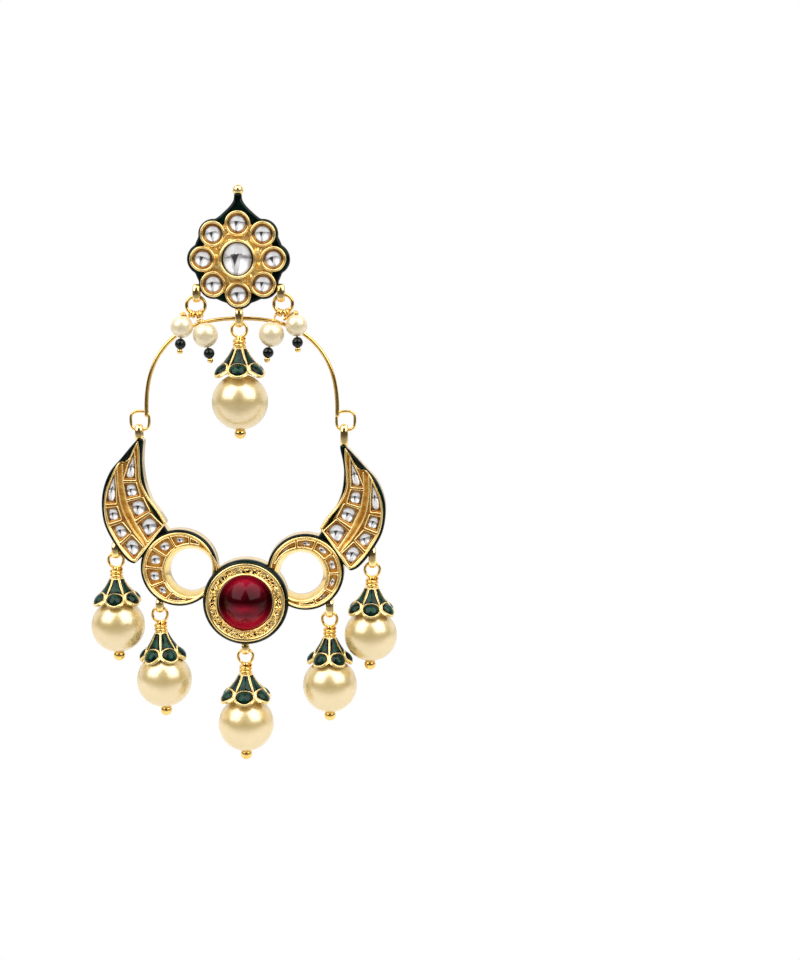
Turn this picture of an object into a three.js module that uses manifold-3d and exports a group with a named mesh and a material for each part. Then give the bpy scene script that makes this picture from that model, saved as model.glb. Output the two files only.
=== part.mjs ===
// Drop earring of the chandbali kind: an enamelled flower stud, a wire hoop hanging from it,
// a crescent frame with two open rings and a centre disc hanging from the hoop, and pearl drops.
// Millimetres. +X right, +Z up, the front faces -Y. The origin is the root of the ear post,
// at the centre of the flower's flat back.

import * as THREE from "three";
import { mergeVertices } from "three/addons/utils/BufferGeometryUtils.js";
import Module from "manifold-3d";

const wasm = await Module();
wasm.setup();

// ---- driving dimensions ----

const GAP = 0.3; // between two separate pieces that sit on each other
const WIRE_GAP = 0.08; // between two wires that hang in each other
const HANG_Y = -1.15; // depth of the plane in which the hoop and its drops hang
const THROUGH = 9; // half the depth of a cut that runs right through

const FLOWER = {
  petals: 8,
  petalCircle: 6.2,
  lobeRadius: 2.85,
  notchRadius: 8.03, // how far out the notches between the lobes are filled
  backingDepth: 2.1,
  chamfer: { depth: 0.9, width: 0.4 },
  neck: { top: 11.4, topHalf: 0.7, waist: 9.3, shoulder: 7, shoulderHalf: 4.1 },
  neckChamfer: { depth: 0.8, width: 0.3 },
  ball: { y: -1.05, z: 12.15, radius: 0.95 },
};
const BEZEL = { rim: 0.2, root: -1 }; // rounding of the rim, and how deep the cups are rooted
const PETAL_BEZEL = { outer: 2.28, front: -3.2, mouth: 1.98, seat: 1.78, floor: -2.3 };
const CENTRE_BEZEL = { outer: 3.4, front: -4.1, mouth: 3.2, seat: 3.1, floor: -2.9 };
const PETAL_STONE = { radius: 1.5, height: 0.85 };
const CENTRE_STONE = { radius: 2.82, height: 1.6 };
const STONE_DOME = { girdle: 0.25, steps: [0.35, 0.65, 0.85, 1] };
const POST = { radius: 0.45, length: 10.5, point: 0.5, padRadius: 1.8, padBack: 0.9, root: 1 };

const EYELET = { width: 1.3, strip: 0.4, bore: 0.55, sunk: 0.3 };
// Each arc's `past` is the angle by which its ends run past, or stop short of, a full sweep.
const HOOP = { x: 0.32, top: -10.45, feet: -27, half: 17, power: 2.43, radius: 0.4, past: 0.02 };
const HOOK = { half: 1.64, rise: 1.66, power: 3, radius: 0.27, bottom: -30.3, past: -0.03 };
const HOOK_X = { left: -17.9, right: 18.85 };

const CRESCENT = { x: 0.2, z: -55.4, tilt: THREE.MathUtils.degToRad(1.9) };
const FRAME = { back: 1.9, front: -1.6, chamfer: { depth: 1.3, width: 0.5 } };
const TIP = { out: 18.3, up: 23.1, lean: -0.7, leanFrom: 10 };
const RING = { out: 11.34, up: 0, radius: 6.95 };
const RING_HOLE = { out: 9.9, up: -0.5, radius: 3.87, shift: 0.66 };
const RING_MOUTH = { width: 3.2, height: 4.6, inward: 2.6, down: 1.9, turn: Math.PI / 5 };
const DISC = { x: 0.82, z: -5.62, radius: 7.7, lip: 6.9, mouth: 5.15, front: -3.1, floor: -1.9 };
const DISC_EDGE = { step: 0.2, inner: 0.3, outer: 1.5 };
const RUBY = { radius: 4.82, height: 3.0 };

// Wing edges, out from the crescent's axis and up from its ring centres.
const WING_OUTER = [
  { out: 19.3, up: 22.2 },
  { out: 21.6, up: 19.6 },
  { out: 24.0, up: 16.7 },
  { out: 25.35, up: 12.6 },
  { out: 25.0, up: 7.8 },
  { out: 22.9, up: 3.7 },
  { out: 20.9, up: 1.2 },
  { out: 19.4, up: 0.4 },
];
const WING_ROOT = [
  { out: 16.5, up: 2.2 },
  { out: 13.2, up: 6.2 },
];
const WING_INNER = [
  { out: 14.1, up: 7.6 },
  { out: 16.2, up: 11.3 },
  { out: 17.5, up: 14.6 },
  { out: 17.95, up: 18.0 },
  { out: 17.8, up: 20.4 },
  { out: 17.5, up: 22.8 },
];

const DROP = {
  loopRadius: 1.34,
  wire: 0.24,
  shaft: 0.28,
  coil: { from: 1.35, turn: 0.84, radius: 0.8, wire: 0.42, bulge: 0.34, joint: 0.15 },
  capTop: 3.15,
  ball: 1.03,
  ballSteps: [0.7, 1, 0.7],
  ballSink: 0.4,
  bore: 0.55,
  dish: { radius: 1.15, depth: 0.7 },
};
const CAP = { petals: 6, top: 1.15, wall: 0.4, drip: 0.275, scallop: 0.07, hole: 0.45 };
const CAP_WAIST = { out: 0.62, outside: 0.5, inside: 0.55 };

// One row for each pearl drop: the centre of its loop (on the crescent for those with an `eye`,
// the height of the eyelet's bore that holds it), how far below the loop its pearl sits, the
// pearl's diameter, the cap's height and flare, and in degrees the cap's turn and the lean.
const DROPS = [
  {
    name: "flower_drop", x: 0,
    stack: 12.8, pearl: 10, cap: 5.3, flare: 4.3, turn: 0, lean: 0,
  },
  {
    name: "left_outer_drop", x: -22.8, z: 0.8, eye: 2.3,
    stack: 11.9, pearl: 9.6, cap: 4.8, flare: 4, turn: 0, lean: 1,
  },
  {
    name: "left_inner_drop", x: -14.7, z: -8.8, eye: 2,
    stack: 12, pearl: 9.9, cap: 5.1, flare: 4.3, turn: 30, lean: 3,
  },
  {
    name: "centre_drop", x: 0.9, z: -16, eye: 1.8,
    stack: 12.4, pearl: 10, cap: 5.1, flare: 4.35, turn: 0, lean: 0,
  },
  {
    name: "right_inner_drop", x: 15.9, z: -8.7, eye: 2.8,
    stack: 12.1, pearl: 9.8, cap: 5.1, flare: 4.2, turn: 30, lean: 0,
  },
  {
    name: "right_outer_drop", x: 23.3, z: 0.6, eye: 3.2,
    stack: 11.9, pearl: 9.5, cap: 4.9, flare: 4, turn: 0, lean: -1.5,
  },
];

const SIDE_RING = { radius: 1.64, wire: 0.3, eyeX: 7.45, eye: 2.4, y: -1.6 };
const SIDE_RINGS = [
  { name: "left_jump_ring", x: -7.6, z: -8.15 },
  { name: "right_jump_ring", x: 7.85, z: -7.85 },
];
const DANGLE = { wire: 0.2, loop: 0.63, bead: 0.97, end: 0.52, bore: 0.42, y: -3.85 };
const DANGLE_BEND = { forward: 0.25, above: 0.35, within: 0.6 };
// One row for each small pearl: its ring, where on the ring it hangs (degrees from the right,
// counter-clockwise), its pearl's centre and radius, and how its thread leans sideways.
const DANGLES = [
  { name: "left_outer_dangle", ring: 0, at: 248, x: -9.86, z: -11.85, pearl: 1.98, lean: -6 },
  { name: "left_inner_dangle", ring: 0, at: 292, x: -5.75, z: -13.3, pearl: 2.2, lean: 11 },
  { name: "right_inner_dangle", ring: 1, at: 248, x: 5.9, z: -13.15, pearl: 2.22, lean: -11 },
  { name: "right_outer_dangle", ring: 1, at: 292, x: 10.3, z: -11.6, pearl: 1.95, lean: 3 },
];

// How many flat sides stand in for a round.
const SIDES = {
  disc: 36, ringHole: 28, ring: 18, centreBezel: 20, petalBezel: 14, ruby: 20, centreStone: 16,
  petalStone: 10, post: 10, tip: 10, pin: 8, pearl: 12, smallPearl: 10, bead: 8, endBall: 6,
  wireSection: 5, loop: 12, jumpRing: 18, dangleLoop: 9, lobe: 4, neck: 5, wing: 2, stadium: 3,
};
const HOOP_TUBE = { sides: 8, steps: 34 };
const HOOK_TUBE = { sides: 6, steps: 18 };
const DANGLE_TUBE = { sides: 6, steps: 8 };

// ---- materials ----

function metal(color, roughness) {
  return new THREE.MeshStandardMaterial({ color, roughness, metalness: 1 });
}

function gloss(color, roughness) {
  return new THREE.MeshStandardMaterial({ color, roughness, metalness: 0 });
}

const GOLD = () => metal(0xdca850, 0.25);
const KUNDAN = () => gloss(0xe8e6e4, 0.08);
const RUBY_RED = () => gloss(0x8e0f22, 0.1);
const ENAMEL = () => gloss(0x0b2a20, 0.12);
const PEARL = () => gloss(0xe9d9b2, 0.2);

// ---- solids: making, joining and cutting ----

function solidOf(geometry) {
  const bare = geometry.clone();
  bare.deleteAttribute("normal");
  bare.deleteAttribute("uv");
  const merged = mergeVertices(bare, 1e-4);
  const triangles = [];
  const index = merged.index.array;
  for (let i = 0; i < index.length; i += 3) {
    const [a, b, c] = [index[i], index[i + 1], index[i + 2]];
    if (a !== b && b !== c && c !== a) triangles.push(a, b, c);
  }
  return new wasm.Manifold(
    new wasm.Mesh({
      numProp: 3,
      vertProperties: new Float32Array(merged.attributes.position.array),
      triVerts: new Uint32Array(triangles),
    }),
  );
}

function geometryOf(solid) {
  const mesh = solid.getMesh();
  const geometry = new THREE.BufferGeometry();
  geometry.setAttribute("position", new THREE.BufferAttribute(mesh.vertProperties, 3));
  geometry.setIndex(new THREE.BufferAttribute(mesh.triVerts, 1));
  return geometry;
}

function join(solids) {
  return solids.reduce((all, next) => all.add(next));
}

function piece(name, solid, material) {
  const mesh = new THREE.Mesh(geometryOf(solid), material);
  mesh.name = name;
  return mesh;
}

// ---- shared shapes ----

// A drawing in the front plane (x right, y up) made into a slab from `back` forward to `front`,
// with a chamfer round its front face.
function slab(shape, back, front, chamfer, curveSegments) {
  const geometry = new THREE.ExtrudeGeometry(shape, {
    depth: back - front - chamfer.depth,
    bevelThickness: chamfer.depth,
    bevelSize: chamfer.width,
    bevelOffset: -chamfer.width,
    bevelSegments: 1,
    curveSegments,
  });
  geometry.rotateX(Math.PI / 2);
  geometry.translate(0, back, 0);
  return solidOf(geometry).trimByPlane([0, -1, 0], -back);
}

// A solid of revolution about +Y through (x, z); each profile point is [radius, y].
function turned(profile, x, z, segments) {
  const points = profile.map(([radius, y]) => new THREE.Vector2(radius, y));
  const geometry = new THREE.LatheGeometry(points, segments);
  geometry.translate(x, 0, z);
  return solidOf(geometry);
}

// A solid of revolution about +Z; each profile point is [radius, z], going up the outside.
function spun(profile, segments) {
  const points = profile.map(([radius, z]) => new THREE.Vector2(radius, z));
  const geometry = new THREE.LatheGeometry(points, segments);
  geometry.rotateX(Math.PI / 2);
  return solidOf(geometry);
}

function ball(radius, x, y, z, sides) {
  const geometry = new THREE.SphereGeometry(radius, sides, Math.ceil(sides / 2));
  geometry.translate(x, y, z);
  return solidOf(geometry);
}

function tube(path, radius, { sides, steps }) {
  const section = new THREE.Shape();
  section.absarc(0, 0, radius, 0, 2 * Math.PI, false);
  return solidOf(
    new THREE.ExtrudeGeometry(section, {
      steps,
      curveSegments: sides / 2,
      extrudePath: path,
    }),
  );
}

// A round wire ring in the front plane.
function wireRing(radius, wire, x, y, z, sides) {
  const geometry = new THREE.TorusGeometry(radius, wire, SIDES.wireSection, sides);
  geometry.rotateX(Math.PI / 2);
  geometry.translate(x, y, z);
  return solidOf(geometry);
}

// How high above a ring's centre its wire's inside is at the edge of an eyelet `off` its middle.
function crownInside(radius, wire, off = 0) {
  return Math.sqrt((radius - wire) ** 2 - (EYELET.width / 2 + off) ** 2);
}

function stadium(path, half, bottom, top) {
  path.moveTo(half, top - half);
  path.absarc(0, top - half, half, 0, Math.PI, false);
  path.absarc(0, bottom + half, half, Math.PI, 2 * Math.PI, false);
  path.closePath();
  return path;
}

// A strip of gold bent into a tall loop: its bore runs along X, from `seat` up to `crown`.
function eyelet(x, y, seat, crown) {
  const { width, strip, bore } = EYELET;
  const outer = stadium(new THREE.Shape(), bore + strip, seat - strip, crown + strip);
  outer.holes.push(stadium(new THREE.Path(), bore, seat, crown));
  const geometry = new THREE.ExtrudeGeometry(outer, {
    depth: width,
    bevelEnabled: false,
    curveSegments: SIDES.stadium,
  });
  geometry.rotateX(Math.PI / 2).rotateZ(Math.PI / 2);
  geometry.translate(x - width / 2, y, 0);
  return solidOf(geometry);
}

// A domed stone on its flat base at y = base.
function dome(radius, height, base, x, z, sides) {
  const { girdle, steps } = STONE_DOME;
  const profile = [[0, base - height]];
  for (const part of steps) {
    const rise = girdle + (1 - girdle) * Math.sqrt(1 - part ** 2);
    profile.push([radius * part, base - height * rise]);
  }
  profile.push([radius, base], [0, base]);
  return turned(profile, x, z, sides);
}

class SuperArc extends THREE.Curve {
  constructor(x, y, z, half, rise, power, from, to) {
    super();
    Object.assign(this, { x, y, z, half, rise, power, from, to });
  }

  getPoint(t, target = new THREE.Vector3()) {
    const angle = this.from + (this.to - this.from) * t;
    const bend = (value) => Math.sign(value) * Math.abs(value) ** (2 / this.power);
    return target.set(
      this.x + this.half * bend(Math.cos(angle)),
      this.y,
      this.z + this.rise * bend(Math.sin(angle)),
    );
  }
}

// ---- flower stud ----

function petalCentre(i) {
  const angle = Math.PI / 2 - (2 * Math.PI * i) / FLOWER.petals;
  const { petalCircle } = FLOWER;
  return { angle, x: petalCircle * Math.cos(angle), z: petalCircle * Math.sin(angle) };
}

function flowerBacking() {
  const { petalCircle: far, lobeRadius: round, notchRadius: notch } = FLOWER;
  const sweep = Math.acos((notch ** 2 - far ** 2 - round ** 2) / (2 * far * round));
  const outline = new THREE.Shape();
  for (let i = 0; i < FLOWER.petals; i += 1) {
    const { angle, x, z } = petalCentre(-i);
    outline.absarc(x, z, FLOWER.lobeRadius, angle - sweep, angle + sweep, false);
  }
  return slab(outline, 0, -FLOWER.backingDepth, FLOWER.chamfer, SIDES.lobe);
}

function flowerNeck() {
  const { top, topHalf, waist, shoulder, shoulderHalf } = FLOWER.neck;
  const outline = new THREE.Shape();
  outline.moveTo(-topHalf, top);
  outline.quadraticCurveTo(-topHalf, waist, -shoulderHalf, shoulder);
  outline.lineTo(shoulderHalf, shoulder);
  outline.quadraticCurveTo(topHalf, waist, topHalf, top);
  return slab(outline, 0, -FLOWER.backingDepth, FLOWER.neckChamfer, SIDES.neck);
}

function bezel({ outer, front }, x, z, sides) {
  const { rim, root } = BEZEL;
  const edge = [[outer - rim, front], [outer, front + rim], [outer, root]];
  return turned([[0, front], ...edge, [0, root]], x, z, sides);
}

// The inside of a cup, running on forward past its mouth.
function pocket({ mouth, seat, front, floor }, x, z, sides) {
  const wall = [[mouth, -THROUGH], [mouth, front], [seat, floor]];
  return turned([[0, -THROUGH], ...wall, [0, floor]], x, z, sides);
}

function hoopEyelet() {
  const loopZ = HOOP.top - HOOP.radius - WIRE_GAP - DROP.wire - DROP.loopRadius;
  const seat = loopZ + crownInside(DROP.loopRadius, DROP.wire) - WIRE_GAP;
  const crown = EYELET.sunk - FLOWER.petalCircle - FLOWER.lobeRadius;
  return { loopZ, solid: eyelet(0, HANG_Y, seat, crown) };
}

function sideEyelet(ring) {
  const { radius, wire, eyeX, eye, y } = SIDE_RING;
  const seat = ring.z + crownInside(radius, wire, Math.abs(ring.x) - eyeX) - WIRE_GAP;
  return eyelet(Math.sign(ring.x) * eyeX, y, seat, seat + eye);
}

function flowerFrame() {
  const centres = Array.from({ length: FLOWER.petals }, (_, i) => petalCentre(i));
  const { ball: tip } = FLOWER;
  const body = join([
    flowerBacking(),
    flowerNeck(),
    ball(tip.radius, 0, tip.y, tip.z, SIDES.tip),
    bezel(CENTRE_BEZEL, 0, 0, SIDES.centreBezel),
    ...centres.map(({ x, z }) => bezel(PETAL_BEZEL, x, z, SIDES.petalBezel)),
    hoopEyelet().solid,
    ...SIDE_RINGS.map(sideEyelet),
  ]);
  const pockets = centres.map(({ x, z }) => pocket(PETAL_BEZEL, x, z, SIDES.petalBezel));
  return body.subtract(join([pocket(CENTRE_BEZEL, 0, 0, SIDES.centreBezel), ...pockets]));
}

function flowerStones(group) {
  const { radius, height } = CENTRE_STONE;
  const centreBase = CENTRE_BEZEL.floor - GAP / 2;
  const centre = dome(radius, height, centreBase, 0, 0, SIDES.centreStone);
  group.add(piece("flower_centre_stone", centre, KUNDAN()));
  const base = PETAL_BEZEL.floor - GAP / 2;
  for (let i = 0; i < FLOWER.petals; i += 1) {
    const { x, z } = petalCentre(i);
    const stone = dome(PETAL_STONE.radius, PETAL_STONE.height, base, x, z, SIDES.petalStone);
    group.add(piece(`petal_stone_${i + 1}`, stone, KUNDAN()));
  }
}

function earPost() {
  const { radius, length, point, padRadius, padBack, root } = POST;
  const profile = [
    [0, GAP],
    [padRadius, GAP],
    [padRadius, padBack],
    [radius, root],
    [radius, length - point],
    [radius / 2, length],
    [0, length],
  ];
  return turned(profile, 0, 0, SIDES.post);
}

// ---- hoop ----

// The loop at a foot of the hoop starts and ends at its upper corner nearest the middle.
function hookLoop(x) {
  const { half, rise, power, radius, bottom, past } = HOOK;
  const start = x < 0 ? Math.PI / 4 : (3 * Math.PI) / 4;
  const [from, to] = [start - past, start + 2 * Math.PI + past];
  const path = new SuperArc(x, HANG_Y, bottom + rise, half, rise, power, from, to);
  return tube(path, radius, HOOK_TUBE);
}

function hoopWire() {
  const { x, top, feet, half, power, radius, past } = HOOP;
  const arch = new SuperArc(x, HANG_Y, feet, half, top - feet, power, -past, Math.PI + past);
  return join([tube(arch, radius, HOOP_TUBE), hookLoop(HOOK_X.left), hookLoop(HOOK_X.right)]);
}

// ---- crescent ----

// A place on the crescent: side is -1 left, +1 right. Both tips lean a little to the left.
function onWing(side, { out, up }) {
  const climb = Math.max(0, up - TIP.leanFrom) / (TIP.up - TIP.leanFrom);
  return new THREE.Vector2(side * out + TIP.lean * climb ** 2, up);
}

function wing(side) {
  const outline = new THREE.Shape();
  const tip = onWing(side, TIP);
  outline.moveTo(tip.x, tip.y);
  outline.splineThru(WING_OUTER.map((point) => onWing(side, point)));
  for (const { out, up } of WING_ROOT) outline.lineTo(side * out, up);
  outline.splineThru(WING_INNER.map((point) => onWing(side, point)));
  return slab(outline, FRAME.back, FRAME.front, FRAME.chamfer, SIDES.wing);
}

// An open ring: a disc with a round hole that runs on to the big disc beside it.
function openRing(side) {
  const outline = new THREE.Shape();
  outline.absarc(side * RING.out, RING.up, RING.radius, 0, 2 * Math.PI, false);
  const x = side * RING_HOLE.out + RING_HOLE.shift;
  const { up, radius } = RING_HOLE;
  const bore = [[radius, -THROUGH], [radius, THROUGH]];
  const hole = turned([[0, -THROUGH], ...bore, [0, THROUGH]], x, up, SIDES.ringHole);
  const { width, height, inward, down, turn } = RING_MOUTH;
  const mouth = new THREE.BoxGeometry(width, 2 * THROUGH, height);
  mouth.rotateY(side * turn).translate(x - side * inward, 0, up - down);
  const ring = slab(outline, FRAME.back, FRAME.front, FRAME.chamfer, SIDES.ring);
  return ring.subtract(hole).subtract(solidOf(mouth));
}

function disc() {
  const { x, z, radius, lip, mouth, front, floor } = DISC;
  const { step, inner, outer } = DISC_EDGE;
  const profile = [
    [0, floor],
    [mouth, floor],
    [mouth, front + step],
    [mouth + inner, front],
    [lip, front],
    [radius, front + outer],
    [radius, FRAME.back],
    [0, FRAME.back],
  ];
  return turned(profile, x, z, SIDES.disc);
}

// The tip eyelets hang on the hooks: their bores rise round the hinge line, which is level.
function tipEyelet(side) {
  const { x: u } = onWing(side, TIP);
  const { z, tilt } = CRESCENT;
  const hinge = (HOOK.bottom - z + u * Math.sin(tilt)) / Math.cos(tilt);
  return eyelet(u, 0, TIP.up - EYELET.sunk, hinge + EYELET.bore);
}

function dropEyelet({ x, z, eye }) {
  const seat = z + crownInside(DROP.loopRadius, DROP.wire) - WIRE_GAP;
  return eyelet(x, 0, seat, seat + eye);
}

function crescentFrame() {
  return join([
    disc(),
    ...[-1, 1].flatMap((side) => [wing(side), openRing(side), tipEyelet(side)]),
    ...DROPS.filter(({ eye }) => eye).map(dropEyelet),
  ]);
}

function ruby() {
  return dome(RUBY.radius, RUBY.height, DISC.floor - GAP, DISC.x, DISC.z, SIDES.ruby);
}

// ---- pearl drops: each is drawn hanging from its loop's centre ----

// The ball that ends the wire, then the wire itself and the coils wound round its top.
function dropPin({ stack, pearl }) {
  const { from, turn, radius, wire, bulge, joint } = DROP.coil;
  const low = -(stack + pearl / 2 + DROP.ball - DROP.ballSink);
  const profile = [[0, low - DROP.ball]];
  DROP.ballSteps.forEach((part, i) => {
    const height = DROP.ball * Math.sqrt(1 - part ** 2);
    profile.push([DROP.ball * part, low + Math.sign(i - 1) * height]);
  });
  profile.push([DROP.shaft, low + DROP.ball], [DROP.shaft, joint - from - 2 * turn]);
  for (const middle of [-from - 1.5 * turn, -from - 0.5 * turn]) {
    profile.push([radius + wire / 2, middle - bulge]);
    profile.push([radius + wire, middle]);
    profile.push([radius + wire / 2, middle + bulge]);
  }
  profile.push([0, joint - from]);
  const loop = wireRing(DROP.loopRadius, DROP.wire, 0, 0, 0, SIDES.loop);
  return join([spun(profile, SIDES.pin), loop]);
}

// A bell of petals: a plain bell whose rim swells and dips towards the middle of each petal.
function beadCap({ cap, flare, turn }) {
  const { top, wall, drip, hole, petals, scallop } = CAP;
  const waist = top + (flare - top) * CAP_WAIST.out;
  const profile = [
    [hole, -wall],
    [top - wall / 2, -wall],
    [waist - wall, -cap * CAP_WAIST.inside],
    [flare - wall, -cap],
    [flare, -cap],
    [waist, -cap * CAP_WAIST.outside],
    [top, 0],
    [hole, 0],
    [hole, -wall],
  ];
  const points = profile.map(([radius, z]) => new THREE.Vector2(radius, z));
  const middle = THREE.MathUtils.degToRad(turn);
  const geometry = new THREE.LatheGeometry(points, 3 * petals, middle);
  geometry.rotateX(Math.PI / 2);
  const place = geometry.attributes.position;
  for (let i = 0; i < place.count; i += 1) {
    const [x, y, z] = [place.getX(i), place.getY(i), place.getZ(i)];
    const petal = Math.cos(petals * (Math.atan2(x, -y) - middle));
    const low = Math.min(1, -z / cap);
    const swell = 1 + scallop * petal * low ** 2;
    place.setXYZ(i, x * swell, y * swell, z - drip * petal * low ** 4);
  }
  return solidOf(geometry).translate(0, 0, -DROP.capTop);
}

// A pearl bored from top to bottom; `dish` widens its lower end to take the wire's ball.
function pearlBead(radius, bore, sides, dish) {
  const open = Math.asin(bore / radius);
  const start = dish ? Math.asin(dish.radius / radius) : open;
  const profile = dish ? [[bore, dish.depth - radius * Math.cos(open)]] : [];
  const steps = sides / 2;
  for (let i = 0; i <= steps; i += 1) {
    const angle = start + ((Math.PI - open - start) * i) / steps;
    profile.push([radius * Math.sin(angle), -radius * Math.cos(angle)]);
  }
  profile.push(profile[0]);
  return spun(profile, sides);
}

function onCrescent({ x, z }) {
  const [cos, sin] = [Math.cos(CRESCENT.tilt), Math.sin(CRESCENT.tilt)];
  return { x: CRESCENT.x + x * cos + z * sin, z: CRESCENT.z - x * sin + z * cos };
}

function pearlDrop(row) {
  const hook = row.eye ? onCrescent(row) : { x: row.x, z: hoopEyelet().loopZ };
  const group = new THREE.Group();
  group.position.set(hook.x, HANG_Y, hook.z);
  group.rotation.y = THREE.MathUtils.degToRad(-row.lean);
  group.add(piece(`${row.name}_pin`, dropPin(row), GOLD()));
  group.add(piece(`${row.name}_cap`, beadCap(row), ENAMEL()));
  const pearl = pearlBead(row.pearl / 2, DROP.bore, SIDES.pearl, DROP.dish);
  group.add(piece(`${row.name}_pearl`, pearl.translate(0, 0, -row.stack), PEARL()));
  return group;
}

// ---- side rings and their small pearls ----

function jumpRing({ x, z }) {
  const { radius, wire, y } = SIDE_RING;
  return wireRing(radius, wire, x, y, z, SIDES.jumpRing);
}

// The wire of a small pearl: a loop round the ring's wire, a bend forward, the thread, a ball.
function danglePin({ ring, at, pearl }, along) {
  const { x, z } = SIDE_RINGS[ring];
  const angle = THREE.MathUtils.degToRad(at);
  const { forward, above, within } = DANGLE_BEND;
  const hold = new THREE.Vector3(Math.cos(angle), 0, Math.sin(angle));
  hold.multiplyScalar(SIDE_RING.radius).add(new THREE.Vector3(x, SIDE_RING.y, z));
  const loop = new THREE.TorusGeometry(
    DANGLE.loop,
    DANGLE.wire,
    SIDES.wireSection,
    SIDES.dangleLoop,
  );
  loop.rotateY(-angle).translate(hold.x, hold.y, hold.z);
  const start = hold.clone().add(new THREE.Vector3(0, -forward, -DANGLE.loop));
  const end = along(pearl + 2 * DANGLE.bead + DANGLE.end + 2 * WIRE_GAP);
  const path = [start, along(-pearl - above), along(-pearl * within), end];
  return join([
    solidOf(loop),
    tube(new THREE.CatmullRomCurve3(path), DANGLE.wire, DANGLE_TUBE),
    ball(DANGLE.end, end.x, end.y, end.z, SIDES.endBall),
  ]);
}

function dangle(row) {
  const lean = THREE.MathUtils.degToRad(row.lean);
  const down = new THREE.Vector3(Math.sin(lean), 0, -Math.cos(lean));
  const middle = new THREE.Vector3(row.x, DANGLE.y, row.z);
  const along = (distance) => middle.clone().addScaledVector(down, distance);
  const strung = (solid, distance) => {
    const { x, y, z } = along(distance);
    return solid.rotate([0, -row.lean, 0]).translate(x, y, z);
  };
  const pearl = strung(pearlBead(row.pearl, DANGLE.bore, SIDES.smallPearl), 0);
  const small = pearlBead(DANGLE.bead, DANGLE.bore, SIDES.bead);
  const bead = strung(small, row.pearl + DANGLE.bead + WIRE_GAP);
  const group = new THREE.Group();
  group.add(piece(`${row.name}_pin`, danglePin(row, along), GOLD()));
  group.add(piece(`${row.name}_pearl`, pearl, PEARL()));
  group.add(piece(`${row.name}_bead`, bead, ENAMEL()));
  return group;
}

// ---- the earring ----

const earring = new THREE.Group();

earring.add(piece("flower_frame", flowerFrame(), GOLD()));
flowerStones(earring);
earring.add(piece("ear_post", earPost(), GOLD()));
earring.add(piece("hoop_wire", hoopWire(), GOLD()));

const crescent = new THREE.Group();
crescent.position.set(CRESCENT.x, HANG_Y, CRESCENT.z);
crescent.rotation.y = CRESCENT.tilt;
crescent.add(piece("crescent_frame", crescentFrame(), GOLD()));
crescent.add(piece("ruby", ruby(), RUBY_RED()));
earring.add(crescent);

for (const row of DROPS) earring.add(pearlDrop(row));
for (const ring of SIDE_RINGS) earring.add(piece(ring.name, jumpRing(ring), GOLD()));
for (const row of DANGLES) earring.add(dangle(row));

export default earring;
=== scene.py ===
# Visual model of a chandbali drop earring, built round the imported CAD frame.
# Lengths inside the making functions are millimetres; meshes are stored in metres.
import math
import random

import bmesh
import bpy
import numpy as np
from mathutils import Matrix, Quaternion, Vector


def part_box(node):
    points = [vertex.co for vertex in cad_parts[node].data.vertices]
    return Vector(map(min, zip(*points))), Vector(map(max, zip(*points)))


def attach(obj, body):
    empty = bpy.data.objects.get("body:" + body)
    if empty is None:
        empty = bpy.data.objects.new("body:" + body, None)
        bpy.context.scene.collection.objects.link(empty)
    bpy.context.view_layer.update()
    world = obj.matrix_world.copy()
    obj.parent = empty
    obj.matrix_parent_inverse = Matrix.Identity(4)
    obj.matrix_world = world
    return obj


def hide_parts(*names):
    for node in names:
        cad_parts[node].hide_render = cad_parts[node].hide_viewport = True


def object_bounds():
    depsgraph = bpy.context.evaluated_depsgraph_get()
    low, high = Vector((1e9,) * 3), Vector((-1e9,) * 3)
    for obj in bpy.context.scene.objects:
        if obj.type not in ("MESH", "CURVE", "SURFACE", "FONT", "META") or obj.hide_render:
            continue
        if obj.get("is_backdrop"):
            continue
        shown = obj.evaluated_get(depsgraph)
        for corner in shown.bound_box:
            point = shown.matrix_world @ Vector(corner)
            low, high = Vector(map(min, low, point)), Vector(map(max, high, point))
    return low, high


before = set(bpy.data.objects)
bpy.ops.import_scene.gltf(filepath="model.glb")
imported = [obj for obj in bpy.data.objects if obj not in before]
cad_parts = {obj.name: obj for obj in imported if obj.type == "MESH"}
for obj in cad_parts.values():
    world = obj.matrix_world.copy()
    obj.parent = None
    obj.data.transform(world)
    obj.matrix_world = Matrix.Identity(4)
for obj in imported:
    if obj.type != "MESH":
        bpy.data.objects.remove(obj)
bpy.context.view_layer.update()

MM = 0.001
MICROMETRE = 0.000001
TAU = 2 * math.pi
random.seed(7)


# ---- places, read from the frame in millimetres ----

def centre_of(node):
    low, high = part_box(node)
    return np.array((low + high) / 2) / MM


def low_of(node):
    return np.array(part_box(node)[0]) / MM


def high_of(node):
    return np.array(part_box(node)[1]) / MM


def size_of(node):
    return high_of(node) - low_of(node)


def in_plane(place):
    """The same place at depth 0."""
    return np.array([place[0], 0, place[2]])


# ---- gathering meshes ----

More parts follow.
